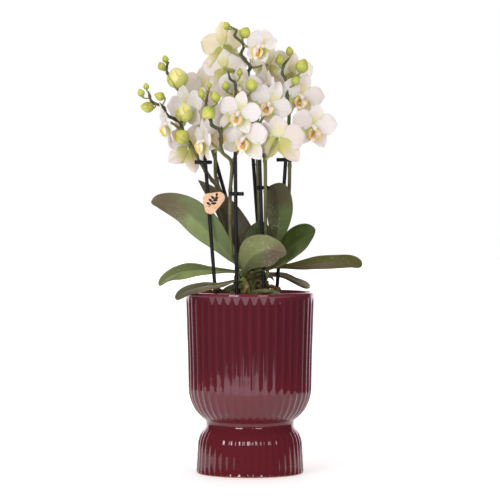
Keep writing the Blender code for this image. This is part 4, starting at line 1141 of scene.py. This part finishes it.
def sprig(shape):
    """A plain sprig, drawn as thin raised shapes on the tag's face: a stem and pairs of leaves."""
    stem = smooth_path(SPRIG_STEM, 20)
    tube(shape, stem, np.linspace(0.34, 0.2, len(stem)), 8)
    u = np.linspace(0, 1, 12)[:, None]
    v = np.linspace(-1, 1, 5)
    width = SPRIG_HALF_WIDTH * np.sin(math.pi * np.clip(u, 0.02, 0.98)) ** 0.8
    for place, heading, length in SPRIG_LEAVES:
        turn = math.radians(heading)
        along = np.array([math.cos(turn), 0, math.sin(turn)])
        across = np.array([-math.sin(turn), 0, math.cos(turn)])
        middle = stem[place] + (u * length)[..., None] * along + (width * v)[..., None] * across
        thick_sheet(shape, middle, SPRIG_THICKNESS, u, v)


def name_tag():
    centre = np.array(TAG_CENTRE)
    half = TAG_THICKNESS / 2
    # Depth and inset of each ring of the outline, from one face round the bevelled edge to the other
    outlines = [(-half, 2.6), (-half, TAG_BEVEL), (TAG_BEVEL - half, 0.0),
                (half - TAG_BEVEL, 0.0), (half, TAG_BEVEL), (half, 2.6)]
    points = np.array([tag_outline(inset) + centre + (0, y, 0) for y, inset in outlines])
    shape = Shape()
    shape.add(points, (0, 0, 0), closed_faces(len(outlines), points.shape[1]))
    add_piece("wooden_tag", shape, [tag_wood_material()], ["name_tag"], sharp=40)
    shape = Shape()
    sprig(shape)
    shape.points = [p + centre - (0, half + 0.04, 0) for p in shape.points]
    add_piece("tag_sprig", shape, [tag_ink_material()], ["name_tag"])


# ---------------------------------------------------------------- crown, roots and leaves


def sheath(shape, heading, low, high, radius, span, wave):
    """One sheath round the stem; its edges overlap others and its top is lower at the edges."""
    u = np.linspace(0, 1, 18)[:, None]
    v = np.linspace(-1, 1, 25)
    around = math.radians(heading) + v * math.radians(span) * (1 - 0.35 * u**2)
    reach = radius * (1 + 0.16 * u**2 - 0.18 * (1 - u) ** 3 + 0.03 * np.sin(9 * v + wave))
    height = low + (high - low) * u * (1 - 0.3 * v**2 * u)
    middle = rings(height, reach, around)
    thick_sheet(shape, middle, SHEATH_THICKNESS * (1 - 0.5 * np.abs(v) ** 3), u, v)


def stub_material():
    g = Graph("cut_stub_skin")
    along, _, _ = g.marks()
    fibre = g.noise(260.0, 3.0)
    colour = g.mix(g.rise(along, 0.7, 0.95), (0.300, 0.215, 0.070), (0.560, 0.330, 0.210))
    g.bump(fibre, 0.2, 0.7)
    return g.finish(g.mix(g.rise(fibre, 0.5, 0.75, 0.0, 0.5), colour, (0.220, 0.130, 0.060)), 0.7)


def crown():
    """The short stem in the leaves' sheaths, whose green is darkened as painted shade, old dry sheaths
    coloured near-black as painted shade in the crown's gaps, a young one, and two cut flower stalks.
    """
    rng = random.Random(5)
    green, dry, young, stubs = (Shape() for _ in range(4))
    turned(green, CROWN_STEM, 32)
    for k in range(GREEN_SHEATHS):
        heading = 180 * (k % 2) + rng.uniform(-22, 22)
        sheath(green, heading, 146 + 5.0 * k, 166 + 4.6 * k, 8.3 - 0.55 * k, GREEN_SHEATH_SPAN, k)
    for old in OLD_SHEATHS:
        sheath(dry, *old, wave=old[0])  # each has waves of its own
    sheath(young, *YOUNG_SHEATH, wave=1.0)
    for start, end, radius in STUBS:
        path = smooth_path([start, (np.array(start) + end) / 2 + (0.3, 0, 0), end], 8)
        tube(stubs, path, radius, 14, flat_ends=True)
    # Green sheaths, their colour darkened as painted shade inside the crown
    green_skin = sheath_material("crown_sheath_skin", (0.110, 0.122, 0.030), (0.055, 0.078, 0.020))
    # Old sheaths near-black: painted shade filling the crown's gaps
    dry_painted_shade_skin = sheath_material("old_sheath_painted_shade_skin", (0.070, 0.055, 0.028), (0.040, 0.040, 0.016))
    young_skin = sheath_material("young_sheath_skin", (0.340, 0.200, 0.040), (0.230, 0.340, 0.060))
    add_piece("crown_sheaths", green, [green_skin], ["plant_crown"])
    add_piece("old_sheaths", dry, [dry_painted_shade_skin], ["plant_crown"])
    add_piece("young_sheath", young, [young_skin], ["plant_crown"])
    add_piece("cut_stubs", stubs, [stub_material()], ["plant_crown"], sharp=50)


def roots():
    """Two thick roots over the rim of the bark and thinner ones among the chips."""
    skin = root_material()
    for node, (points, radius) in ROOTS.items():
        path = smooth_path(points, 40)
        t = np.linspace(0, 1, len(path))
        taper = np.where(t > 0.9, 1 - 4 * (t - 0.9), 1)
        shape = Shape()
        tube(shape, path, radius * (0.85 + 0.15 * np.sin(7 * t) * np.sin(19 * t)) * taper, 16)
        add_piece(node.replace("aerial_", ""), shape, [skin], [node])
    rng = random.Random(12)
    shape = Shape()
    for _ in range(THIN_ROOTS):
        heading = rng.uniform(0, 2 * math.pi)
        turn = rng.uniform(-0.9, 0.9)
        reach = rng.uniform(20, 34)
        points = []
        for t in np.linspace(0, 1, 5):
            r, a = 6 + (reach - 6) * t, heading + turn * t
            arch = 4.5 * math.sin(math.pi * min(1, t * 1.15))
            z = max(mound_height(r) + arch + rng.uniform(-0.6, 1.2), 150)
            points.append((r * math.cos(a), r * math.sin(a), z + (6 if t == 0 else 0)))
        path = smooth_path(points, THIN_ROOT_POINTS)
        radii = np.linspace(rng.uniform(1.1, 1.9), 0.8, THIN_ROOT_POINTS)
        tube(shape, path, radii, 10, kind=float(rng.random() < 0.45))
    for points in THIN_ROOT_PATHS:
        radii = np.linspace(1.5, 1.0, THIN_ROOT_POINTS)
        tube(shape, smooth_path(points, THIN_ROOT_POINTS), radii, 10, kind=1.0)
    add_piece("thin_roots", shape, [skin], ["plant_crown"])


def leaf_width(t, widest, foot, pointed):
    """Share of the half width at t from base to tip: a narrow foot, the widest place, then the tip."""
    rise = np.clip(t / widest, 0, 1)
    blade = foot + (1 - foot) * rise * rise * (3 - 2 * rise)
    to_tip = np.clip(t - widest, 0, None) / (1 - widest)
    tip = np.clip(1 - to_tip ** (2.8 - 0.9 * pointed), 0, 1) ** (0.5 + 0.28 * pointed)
    return np.maximum(blade * tip, 0.012)


def leaf(name, midrib, half_width, base_up, tip_up, seed):
    """A folded, slightly wavy blade on a midrib that starts inside the crown."""
    rng = random.Random(seed)
    first = np.array(midrib[0], float)
    root = (first[0] * LEAF_ROOT_SHARE, first[1] * LEAF_ROOT_SHARE, first[2] - LEAF_ROOT_DROP)
    dense = smooth_path([root] + list(midrib), 400)
    distance = walked(dense)
    base = distance[np.argmin(np.linalg.norm(dense - first, axis=1))]
    spread = np.linspace(0, 1, LEAF_ROWS)
    wanted = distance[-1] * (1 - (1 - spread) ** LEAF_ROW_CROWDING)
    path = np.column_stack([np.interp(wanted, distance, dense[:, k]) for k in range(3)])
    t = ((wanted - base) / (distance[-1] - base))[:, None]
    along = unit(np.gradient(path, axis=0))
    share = np.clip(t, 0, 1)
    up = np.array(base_up) * (1 - share) + np.array(tip_up) * share
    up = unit(up - along * (up * along).sum(axis=1, keepdims=True))
    across = np.cross(along, up)
    x = np.linspace(-1, 1, LEAF_COLUMNS)
    s = np.sign(x) * np.abs(x) ** LEAF_COLUMN_CROWDING
    widest, foot, pointed, fold = LEAF_FORMS[name]
    width = half_width * leaf_width(t, widest, foot, pointed)
    fold = fold + 0.62 * np.exp(-np.clip(t, 0, None) * 9)
    wave = 0.55 * np.sin(2 * math.pi * (1.6 * t + rng.random()) + 1.5 * s)
    wave = wave + 0.3 * np.sin(17 * t + 3 * s + seed)
    lift = fold * width * np.abs(s) ** 1.2 - 0.10 * width * s**4 + wave * s**2 * np.clip(t * 3, 0, 1)
    groove = LEAF_GROOVE_DEPTH * np.exp(-((s * width / LEAF_GROOVE_HALF_WIDTH) ** 2))
    lift = lift - groove * np.clip(width / half_width * 1.5, 0, 1)
    middle = path[:, None] + across[:, None] * (width * s)[..., None] + up[:, None] * lift[..., None]
    narrow = np.clip(width / half_width * 2.2, 0.12, 1)
    thickness = LEAF_THICKNESS * (1 - 0.45 * share) * (1 - 0.68 * np.abs(s) ** 2.5) * narrow
    shape = Shape()
    thick_sheet(shape, middle, thickness, share, s)
    surface = leaf_material(name, *LEAF_LOOKS[name])
    add_piece(name.replace("leaf", "blade"), shape, [surface], [name])


def leaves():
    for seed, (name, (midrib, half_width, base_up, tip_up)) in enumerate(LEAVES.items()):
        leaf(name, midrib, half_width, base_up, tip_up, seed)


# ---------------------------------------------------------------- flowers, buds and spikes


def facing_matrix(turn, tilt, roll):
    """Local +Z is the way the flower faces and local +Y is its upper tepal."""
    turn, tilt, roll = (math.radians(a) for a in (turn, tilt, roll))
    out = Vector((math.sin(turn) * math.cos(tilt), -math.cos(turn) * math.cos(tilt), math.sin(tilt)))
    right = Vector((math.cos(turn), math.sin(turn), 0))
    up = out.cross(right)
    return Matrix((right, up, out)).transposed() @ Matrix.Rotation(roll, 3, "Z")


class Bloom:
    """Places points given in a flower's own frame, in millimetres for a flower of size 1."""

    def __init__(self, centre, turn, tilt, roll, size):
        self.centre = np.array(centre, float)
        self.basis = np.array(facing_matrix(turn, tilt, roll)) * size
        self.size = size

    def __call__(self, points):
        return np.asarray(points, float) @ self.basis.T + self.centre


def tepal_width(u, kind):
    """Share of the half width at u from the flower's middle to the tepal's tip."""
    rise, fall, foot = (0.98, 0.74, 0.14) if kind == "petal" else (0.85, 0.82, 0.26)
    widest = rise / (rise + fall)
    body = (u / widest) ** rise * ((1 - u) / (1 - widest)) ** fall
    return body + foot * (1 - u) ** 3


def tepal(shape, bloom, direction, length, half_width, kind, rng, material):
    rows, columns = 24, 17
    turn = math.radians(direction + rng.gauss(0, 2.5))
    length *= 1 + rng.gauss(0, 0.03)
    u = np.sin(np.linspace(0, 0.997, rows) * math.pi / 2)[:, None]
    v = np.linspace(-1, 1, columns)
    width = half_width * (1 + rng.gauss(0, 0.03)) * tepal_width(u, kind)
    x = width * v
    y = TEPAL_START + (length - TEPAL_START) * u
    if kind == "petal":
        lift = FLOWER_CUP * (0.85 + rng.gauss(0, 0.2)) * u**1.6 + 0.5
        lift = lift - 1.5 * np.abs(v) ** 2.2 * u + rng.gauss(0, 0.7) * v * u
        lift = lift + 0.55 * np.sin(5.5 * v + 6 * u + rng.uniform(0, 6)) * np.abs(v) ** 1.5 * u
        lift = lift - 2.2 * np.clip(u - 0.72, 0, None) * rng.uniform(0.3, 2.2)
    else:
        lift = FLOWER_CUP * (0.7 + rng.gauss(0, 0.15)) * u**1.8 - 0.5
        lift = lift + 1.5 * np.abs(v) ** 2 * (1 - 0.5 * u) * width / half_width
        lift = lift + 0.3 * np.sin(4 * v + 5 * u + rng.uniform(0, 6)) * np.abs(v) * u
        lift = lift - 3.0 * np.clip(u - 0.70, 0, None) * rng.uniform(0.2, 1.6)
    crease = -0.22 * np.exp(-((v / 0.07) ** 2)) * (1 - u)
    along = np.array([-math.sin(turn), math.cos(turn)])
    across = np.array([math.cos(turn), math.sin(turn)])
    middle = np.empty((rows, columns, 3))
    middle[..., :2] = y[..., None] * along + x[..., None] * across
    middle[..., 2] = lift + crease
    thickness = TEPAL_THICKNESS * bloom.size * (1.25 - 0.5 * u) * (1 - 0.6 * np.abs(v) ** 3)
    thick_sheet(shape, bloom(middle), thickness, u, v, material)


def resampled(curve, shares):
    """Points of a curve at shares of its number of points."""
    given = np.linspace(0, 1, len(curve))
    return np.column_stack([np.interp(shares, given, curve[:, k]) for k in range(3)])


def lip_lobe(shape, bloom, side):
    """One side lobe: it stands on the lip's root and bows outwards and in again at its rim."""
    root = smooth_curve([(0.9, -2.6, 2.2), (1.5, -5.0, 2.6), (1.0, -8.4, 3.2)], 8)
    rim = [(2.4, -1.2, 6.4), (5.2, -3.0, 7.6), (5.7, -6.4, 7.4), (4.2, -9.8, 6.6), (2.2, -11.2, 5.6)]
    t = np.linspace(0, 1, 17)
    root, rim = resampled(root, t)[:, None], resampled(smooth_curve(rim, 4), t)[:, None]
    v = np.linspace(0, 1, 10)[None, :, None]
    bow = np.sin(math.pi * v) * np.array([1.5, 0.0, -0.6]) - v**4 * np.array([0.9, 0.0, -0.3])
    bow = bow * np.sin(math.pi * np.clip(t, 0.06, 0.94))[:, None, None]
    middle = root * (1 - v) + rim * v + bow
    if side < 0:
        middle = middle[::-1] * (-1, 1, 1)
        t = t[::-1]
    across = v[..., 0]
    thick_sheet(shape, bloom(middle), 0.55 * (1 - 0.3 * across) * bloom.size, t[:, None], across)


def lip_and_column(shape, bloom):
    """Two side lobes, the tongue between them with its two horns, the callus, and the column."""
    for side in (-1, 1):
        lip_lobe(shape, bloom, side)
    u = np.linspace(0, 1, 16)[:, None]
    v = np.linspace(-1, 1, 11)
    spine = smooth_curve([(0, -6.8, 2.6), (0, -9.0, 4.6), (0, -11.0, 5.5), (0, -12.6, 4.8)], 5)
    width = np.interp(u, [0, 0.25, 0.5, 0.8, 1.0], [0.9, 1.4, 2.1, 1.2, 0.12])
    fold = 0.35 * np.abs(v) ** 2 * width
    middle = spine[:, None] + np.stack([width * v, 0 * width * v, fold], axis=-1)
    thick_sheet(shape, bloom(middle), 0.6 * bloom.size, u, v, 1)
    for x in (-1, 1):
        horn = smooth_path([(0.1 * x, -12.3, 4.9), (0.9 * x, -13.4, 4.5), (1.6 * x, -13.1, 5.4)], 10)
        tube(shape, bloom(horn), np.linspace(0.3, 0.12, 10) * bloom.size, 7, material=3)
    callus = smooth_path([(0.0, -6.2, 3.6), (0.0, -7.4, 4.7), (0.0, -8.6, 4.6)], 7)
    radii = np.array([0.9, 1.3, 1.5, 1.6, 1.5, 1.2, 0.8]) * bloom.size
    tube(shape, bloom(callus), radii, 14, material=2)
    column = [(0.0, -0.2, 0.2), (0.0, -0.6, 3.0), (0.0, -1.3, 5.4), (0.0, -2.3, 6.8)]
    radii = np.interp(np.linspace(0, 1, 14), [0, 0.3, 0.75, 1.0], [2.1, 1.6, 1.9, 1.5]) * bloom.size
    tube(shape, bloom(smooth_path(column, 14)), radii, 18, material=3)


def tepal_skins(ending, tints, white):
    return [tepal_material(f"{kind}_{ending}", *tint, white) for kind, tint in tints.items()]


def flowers():
    opened = tepal_skins("skin", TINTS, OPENED_WHITE)
    special = [(names, tepal_skins(variant, tints, white)) for variant, (tints, white, names) in OTHER_SKINS.items()]
    kinds = list(TINTS)
    lip_skins = [lip_material(), lip_tip_material(), callus_material(), column_material()]
    for seed, (name, (_, centre, turn, tilt, roll, size, _)) in enumerate(FLOWERS.items()):
        rng = random.Random(100 + seed)
        bloom = Bloom(centre, turn, tilt, roll, size)
        shape = Shape()
        for usual, length, half_width, kind in TEPALS:
            direction, length, half_width = GROWN_TEPALS.get((name, usual), (usual, length, half_width))
            tepal(shape, bloom, direction, length, half_width, kind, rng, kinds.index(kind))
        skins = next((look for names, look in special if name in names), opened)
        add_piece(name.replace("flower", "tepals"), shape, skins, [name])
        shape = Shape()
        lip_and_column(shape, Bloom(centre, turn, tilt, roll, size * LIP_SCALE))
        add_piece(name.replace("flower", "lip"), shape, lip_skins, [name])


def bud(shape, centre, direction, length, width, seed):
    """A closed bud of three outer tepals; a ripe one has them overlapping in steps and loosening."""
    rng = random.Random(seed)
    ripe = width >= OPENING_BUD_WIDTH
    rows, columns = 26, 60
    axis = Vector(direction).normalized()
    one = axis.orthogonal().normalized()
    two = axis.cross(one)
    s = (0.5 - 0.5 * np.cos(np.linspace(0.04, 0.985, rows) * math.pi))[:, None]
    angles = round_angles(columns)
    profile = np.sin(math.pi * np.clip(s, 0, 1) ** 0.86) ** (0.62 if ripe else 0.72)
    twist = angles + rng.uniform(0, 6) + (1.1 * s if ripe else 0.35 * s)
    lobes = 3 * twist / (2 * math.pi)
    part = lobes - np.floor(lobes)
    seam = np.exp(-((np.minimum(part, 1 - part) / 0.05) ** 2))
    reach = profile * width / 2
    if ripe:
        reach = reach * (0.93 + 0.10 * part) * (1 + 0.035 * np.sin(2 * math.pi * part + 4 * s))
    else:
        dent = 0.075 * seam * np.sin(math.pi * s) ** 0.5
        reach = reach * (1 - dent) * (1 + 0.03 * np.cos(2 * math.pi * part))

    def placed_round(shares, around, reach):
        """Points at shares of the length from the middle, at angles round the axis and a reach from it."""
        flat = np.array(one) * np.cos(around)[..., None] + np.array(two) * np.sin(around)[..., None]
        return np.array(centre) + np.array(axis) * (shares * length)[..., None] + flat * reach[..., None]

    marks = np.stack(np.broadcast_arrays(s, seam, float(ripe)), axis=-1)
    shape.add(placed_round(s - 0.5, angles, reach), marks, closed_faces(rows, columns))
    if not ripe:
        return
    u = np.linspace(0.03, 0.78, 15)[:, None]
    v = np.linspace(-1, 1, 13)
    for start in (0.4, 2.5, 4.6):
        around = start + v * 0.95 * np.sin(math.pi * (u / 0.80) ** 0.8) ** 0.6
        reach = (np.sin(math.pi * u**0.86) ** 0.62 * 0.53 + 0.17 * u**2.5) * width
        thick_sheet(shape, placed_round(u - 0.56, around, reach), 0.45, 0.5 * u, 0.0, kinds=(0.6, 0.6))


def stalk_path(start, end, arrival):
    """A small stalk that leaves the stem sideways and arrives along the given direction."""
    start, end, arrival = np.array(start, float), np.array(end, float), unit(arrival)
    reach = np.linalg.norm(end - start)
    leave = start + (end - start) * 0.3 + (0, 0, -0.12 * reach)
    arrive = end - arrival * reach * 0.35
    t = np.linspace(0, 1, 22)[:, None]
    return start * (1 - t) ** 3 + leave * 3 * t * (1 - t) ** 2 + arrive * 3 * t * t * (1 - t) + end * t**3


def bract(shape, path, number, out, size):
    """A small pointed scale that clasps the stem at one point of its path."""
    step = path[number + 1] - path[number - 1]
    along, out = unit(step), unit(out - step * (out @ step))
    side = np.cross(along, out)
    u = np.linspace(0, 1, 9)[:, None]
    v = np.linspace(-1, 1, 9)
    around = v * (1.5 * (1 - u) + 0.15)
    reach = size * (0.95 + 0.45 * u)
    middle = path[number] + along * ((u * 3.6 - 0.8) * size / 1.3)[..., None]
    middle = middle + out * (reach * np.cos(around))[..., None] + side * (reach * np.sin(around))[..., None]
    thick_sheet(shape, middle, BRACT_THICKNESS, u, v, kinds=(2.0, 2.0))


def small_stalk(shape, path, start, end, arrival, form, bract_size):
    """A flower's or bud's stalk from a point of the stem, with a bract where it leaves."""
    places, radii, sides, kind = form
    stalk = stalk_path(path[start], end, arrival)
    tube(shape, stalk, np.interp(np.linspace(0, 1, len(stalk)), places, radii), sides, kind=kind)
    bract(shape, path, start, stalk[3] - stalk[0], bract_size)


def spikes():
    skin, bud_skin = stem_material(), bud_material()
    for number, points in SPIKES.items():
        path = smooth_path(points, 10 * len(points))
        distance = walked(path)
        radii = np.interp(distance / distance[-1], SPIKE_PLACES, SPIKE_RADII)
        nodes = [nearest(path, p) for p in points[2:-1]]
        for node in nodes:
            swelling = np.exp(-(((distance - distance[node]) / NODE_HALF_LENGTH) ** 2))
            radii = radii * (1 + NODE_SWELLING * swelling)
        shape = Shape()
        tube(shape, path, radii, 14)
        for spike, centre, turn, tilt, roll, _, height in FLOWERS.values():
            if spike != number:
                continue
            out = np.array(facing_matrix(turn, tilt, roll) @ Vector((0, 0, 1)))
            start = int(np.argmin(abs(path[:, 2] - height)))
            end = np.array(centre) - out * FLOWER_STALK_GAP
            small_stalk(shape, path, start, end, out, FLOWER_STALK, radii[start] + 0.3)
        for node in nodes[:BRACTED_NODES]:
            lean = path[node + 1] + path[node - 1] - 2 * path[node]
            bract(shape, path, node, lean + (0.3, -0.4, 0.1), radii[node] + 0.1)
        buds = Shape()
        for seed, (spike, centre, length, width, direction) in enumerate(BUDS):
            if spike != number:
                continue
            bud(buds, centre, direction, length, width, seed)
            axis = unit(direction)
            end = np.array(centre) - axis * length * BUD_STALK_END
            start = min(max(nearest(path, end - (0, 0, 3)), 1), len(path) - 2)
            small_stalk(shape, path, start, end, axis, BUD_STALK, radii[start] + 0.2)
        add_piece(f"stem_{number}", shape, [skin], [f"spike_{number}"])
        add_piece(f"buds_{number}", buds, [bud_skin], [f"spike_{number}"])


# ---------------------------------------------------------------- studio


def pale_table():
    """A white table that ends in front of the pot. It glows as painted light: dimmer near the pot,
    brighter towards the back, and pink-lavender in front, where the pot's lower bowl reflects it.
    """
    mesh = bpy.data.meshes.new("table")
    mesh.from_pydata([(x, y, 0.0) for x, y in TABLE_EDGE], [], [list(range(len(TABLE_EDGE)))])
    table = placed("table", mesh)
    g = Graph("table_top")
    white = g.mix(g.noise(3.0, 2.0), (0.86, 0.86, 0.86), (0.89, 0.89, 0.89))
    y = g.split(g.place())["Y"]
    # The front part glows pink-lavender: painted light for the pot's lower bowl to reflect
    front = g.rise(y, -0.38, -0.20, 1.0, 0.0)
    g.put(g.mix(front, white, (1.0, 0.78, 0.92)), g.shader.inputs["Emission Color"])
    glow = g.plus(g.rise(y, -0.1, 1.2, 0.42, 0.92), g.times(front, 0.55))
    g.put(glow, g.shader.inputs["Emission Strength"])
    mesh.materials.append(g.finish(white, 0.7))


def surroundings():
    """A white wall all round; the light and the reflections that come from it grow towards the back."""
    world = bpy.data.worlds.new("studio")
    bpy.context.scene.world = world
    world.use_nodes = True
    nodes, links = world.node_tree.nodes, world.node_tree.links
    ways = nodes.new("ShaderNodeLightPath")
    split = nodes.new("ShaderNodeSeparateXYZ")
    links.new(nodes.new("ShaderNodeTexCoord").outputs["Generated"], split.inputs[0])

    def wall(tint, levels=None):
        node = nodes.new("ShaderNodeBackground")
        node.inputs["Color"].default_value = (*tint, 1.0)
        if levels:
            strength = nodes.new("ShaderNodeMapRange")
            strength.interpolation_type = "SMOOTHSTEP"
            for socket, value in zip(strength.inputs[1:5], levels):
                socket.default_value = value
            links.new(split.outputs["Y"], strength.inputs[0])
            links.new(strength.outputs[0], node.inputs["Strength"])
        return node.outputs[0]

    def either(way, otherwise, then):
        node = nodes.new("ShaderNodeMixShader")
        for socket, source in zip(node.inputs, (ways.outputs[way], otherwise, then)):
            links.new(source, socket)
        return node.outputs[0]

    lighting = either("Is Glossy Ray", wall(*FILL), wall(*MIRRORED))
    shown = either("Is Camera Ray", lighting, wall((1.0, 1.0, 1.0)))
    links.new(shown, nodes["World Output"].inputs["Surface"])


def lamps():
    for name, azimuth, elevation, distance, size, power in SOFT_BOXES:
        lamp = bpy.data.lights.new(name, "AREA")
        lamp.shape = "RECTANGLE"
        lamp.size, lamp.size_y = size
        lamp.energy = power
        lamp.color = LAMP_COLOUR
        turn, lift = math.radians(azimuth), math.radians(elevation)
        away = Vector((math.sin(turn) * math.cos(lift), -math.cos(turn) * math.cos(lift), math.sin(lift)))
        holder = placed(name, lamp)
        holder.location = Vector(LIT_MIDDLE) + away * distance
        holder.rotation_euler = away.to_track_quat("Z", "Y").to_euler()
        holder.visible_glossy = name != "overhead"


def camera():
    lens = bpy.data.cameras.new("camera")
    lens.sensor_width = SENSOR_WIDTH
    lens.lens = LENS_LENGTH
    eye = placed("camera", lens)
    eye.location = CAMERA_PLACE
    look = Vector(CAMERA_AIM) - eye.location
    eye.rotation_euler = look.to_track_quat("-Z", "Y").to_euler()
    bpy.context.scene.camera = eye
    bpy.context.scene.view_settings.view_transform = "Standard"


camera()
pale_table()
surroundings()
lamps()
ceramic_pot()
clear_nursery_pot()
bark()
wick()
black_plastic = black_plastic_material()
stakes(black_plastic)
clips(black_plastic)
name_tag()
crown()
roots()
leaves()
flowers()
spikes()
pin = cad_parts["wick_pin"]
pin.data.materials.clear()
pin.data.materials.append(black_plastic)
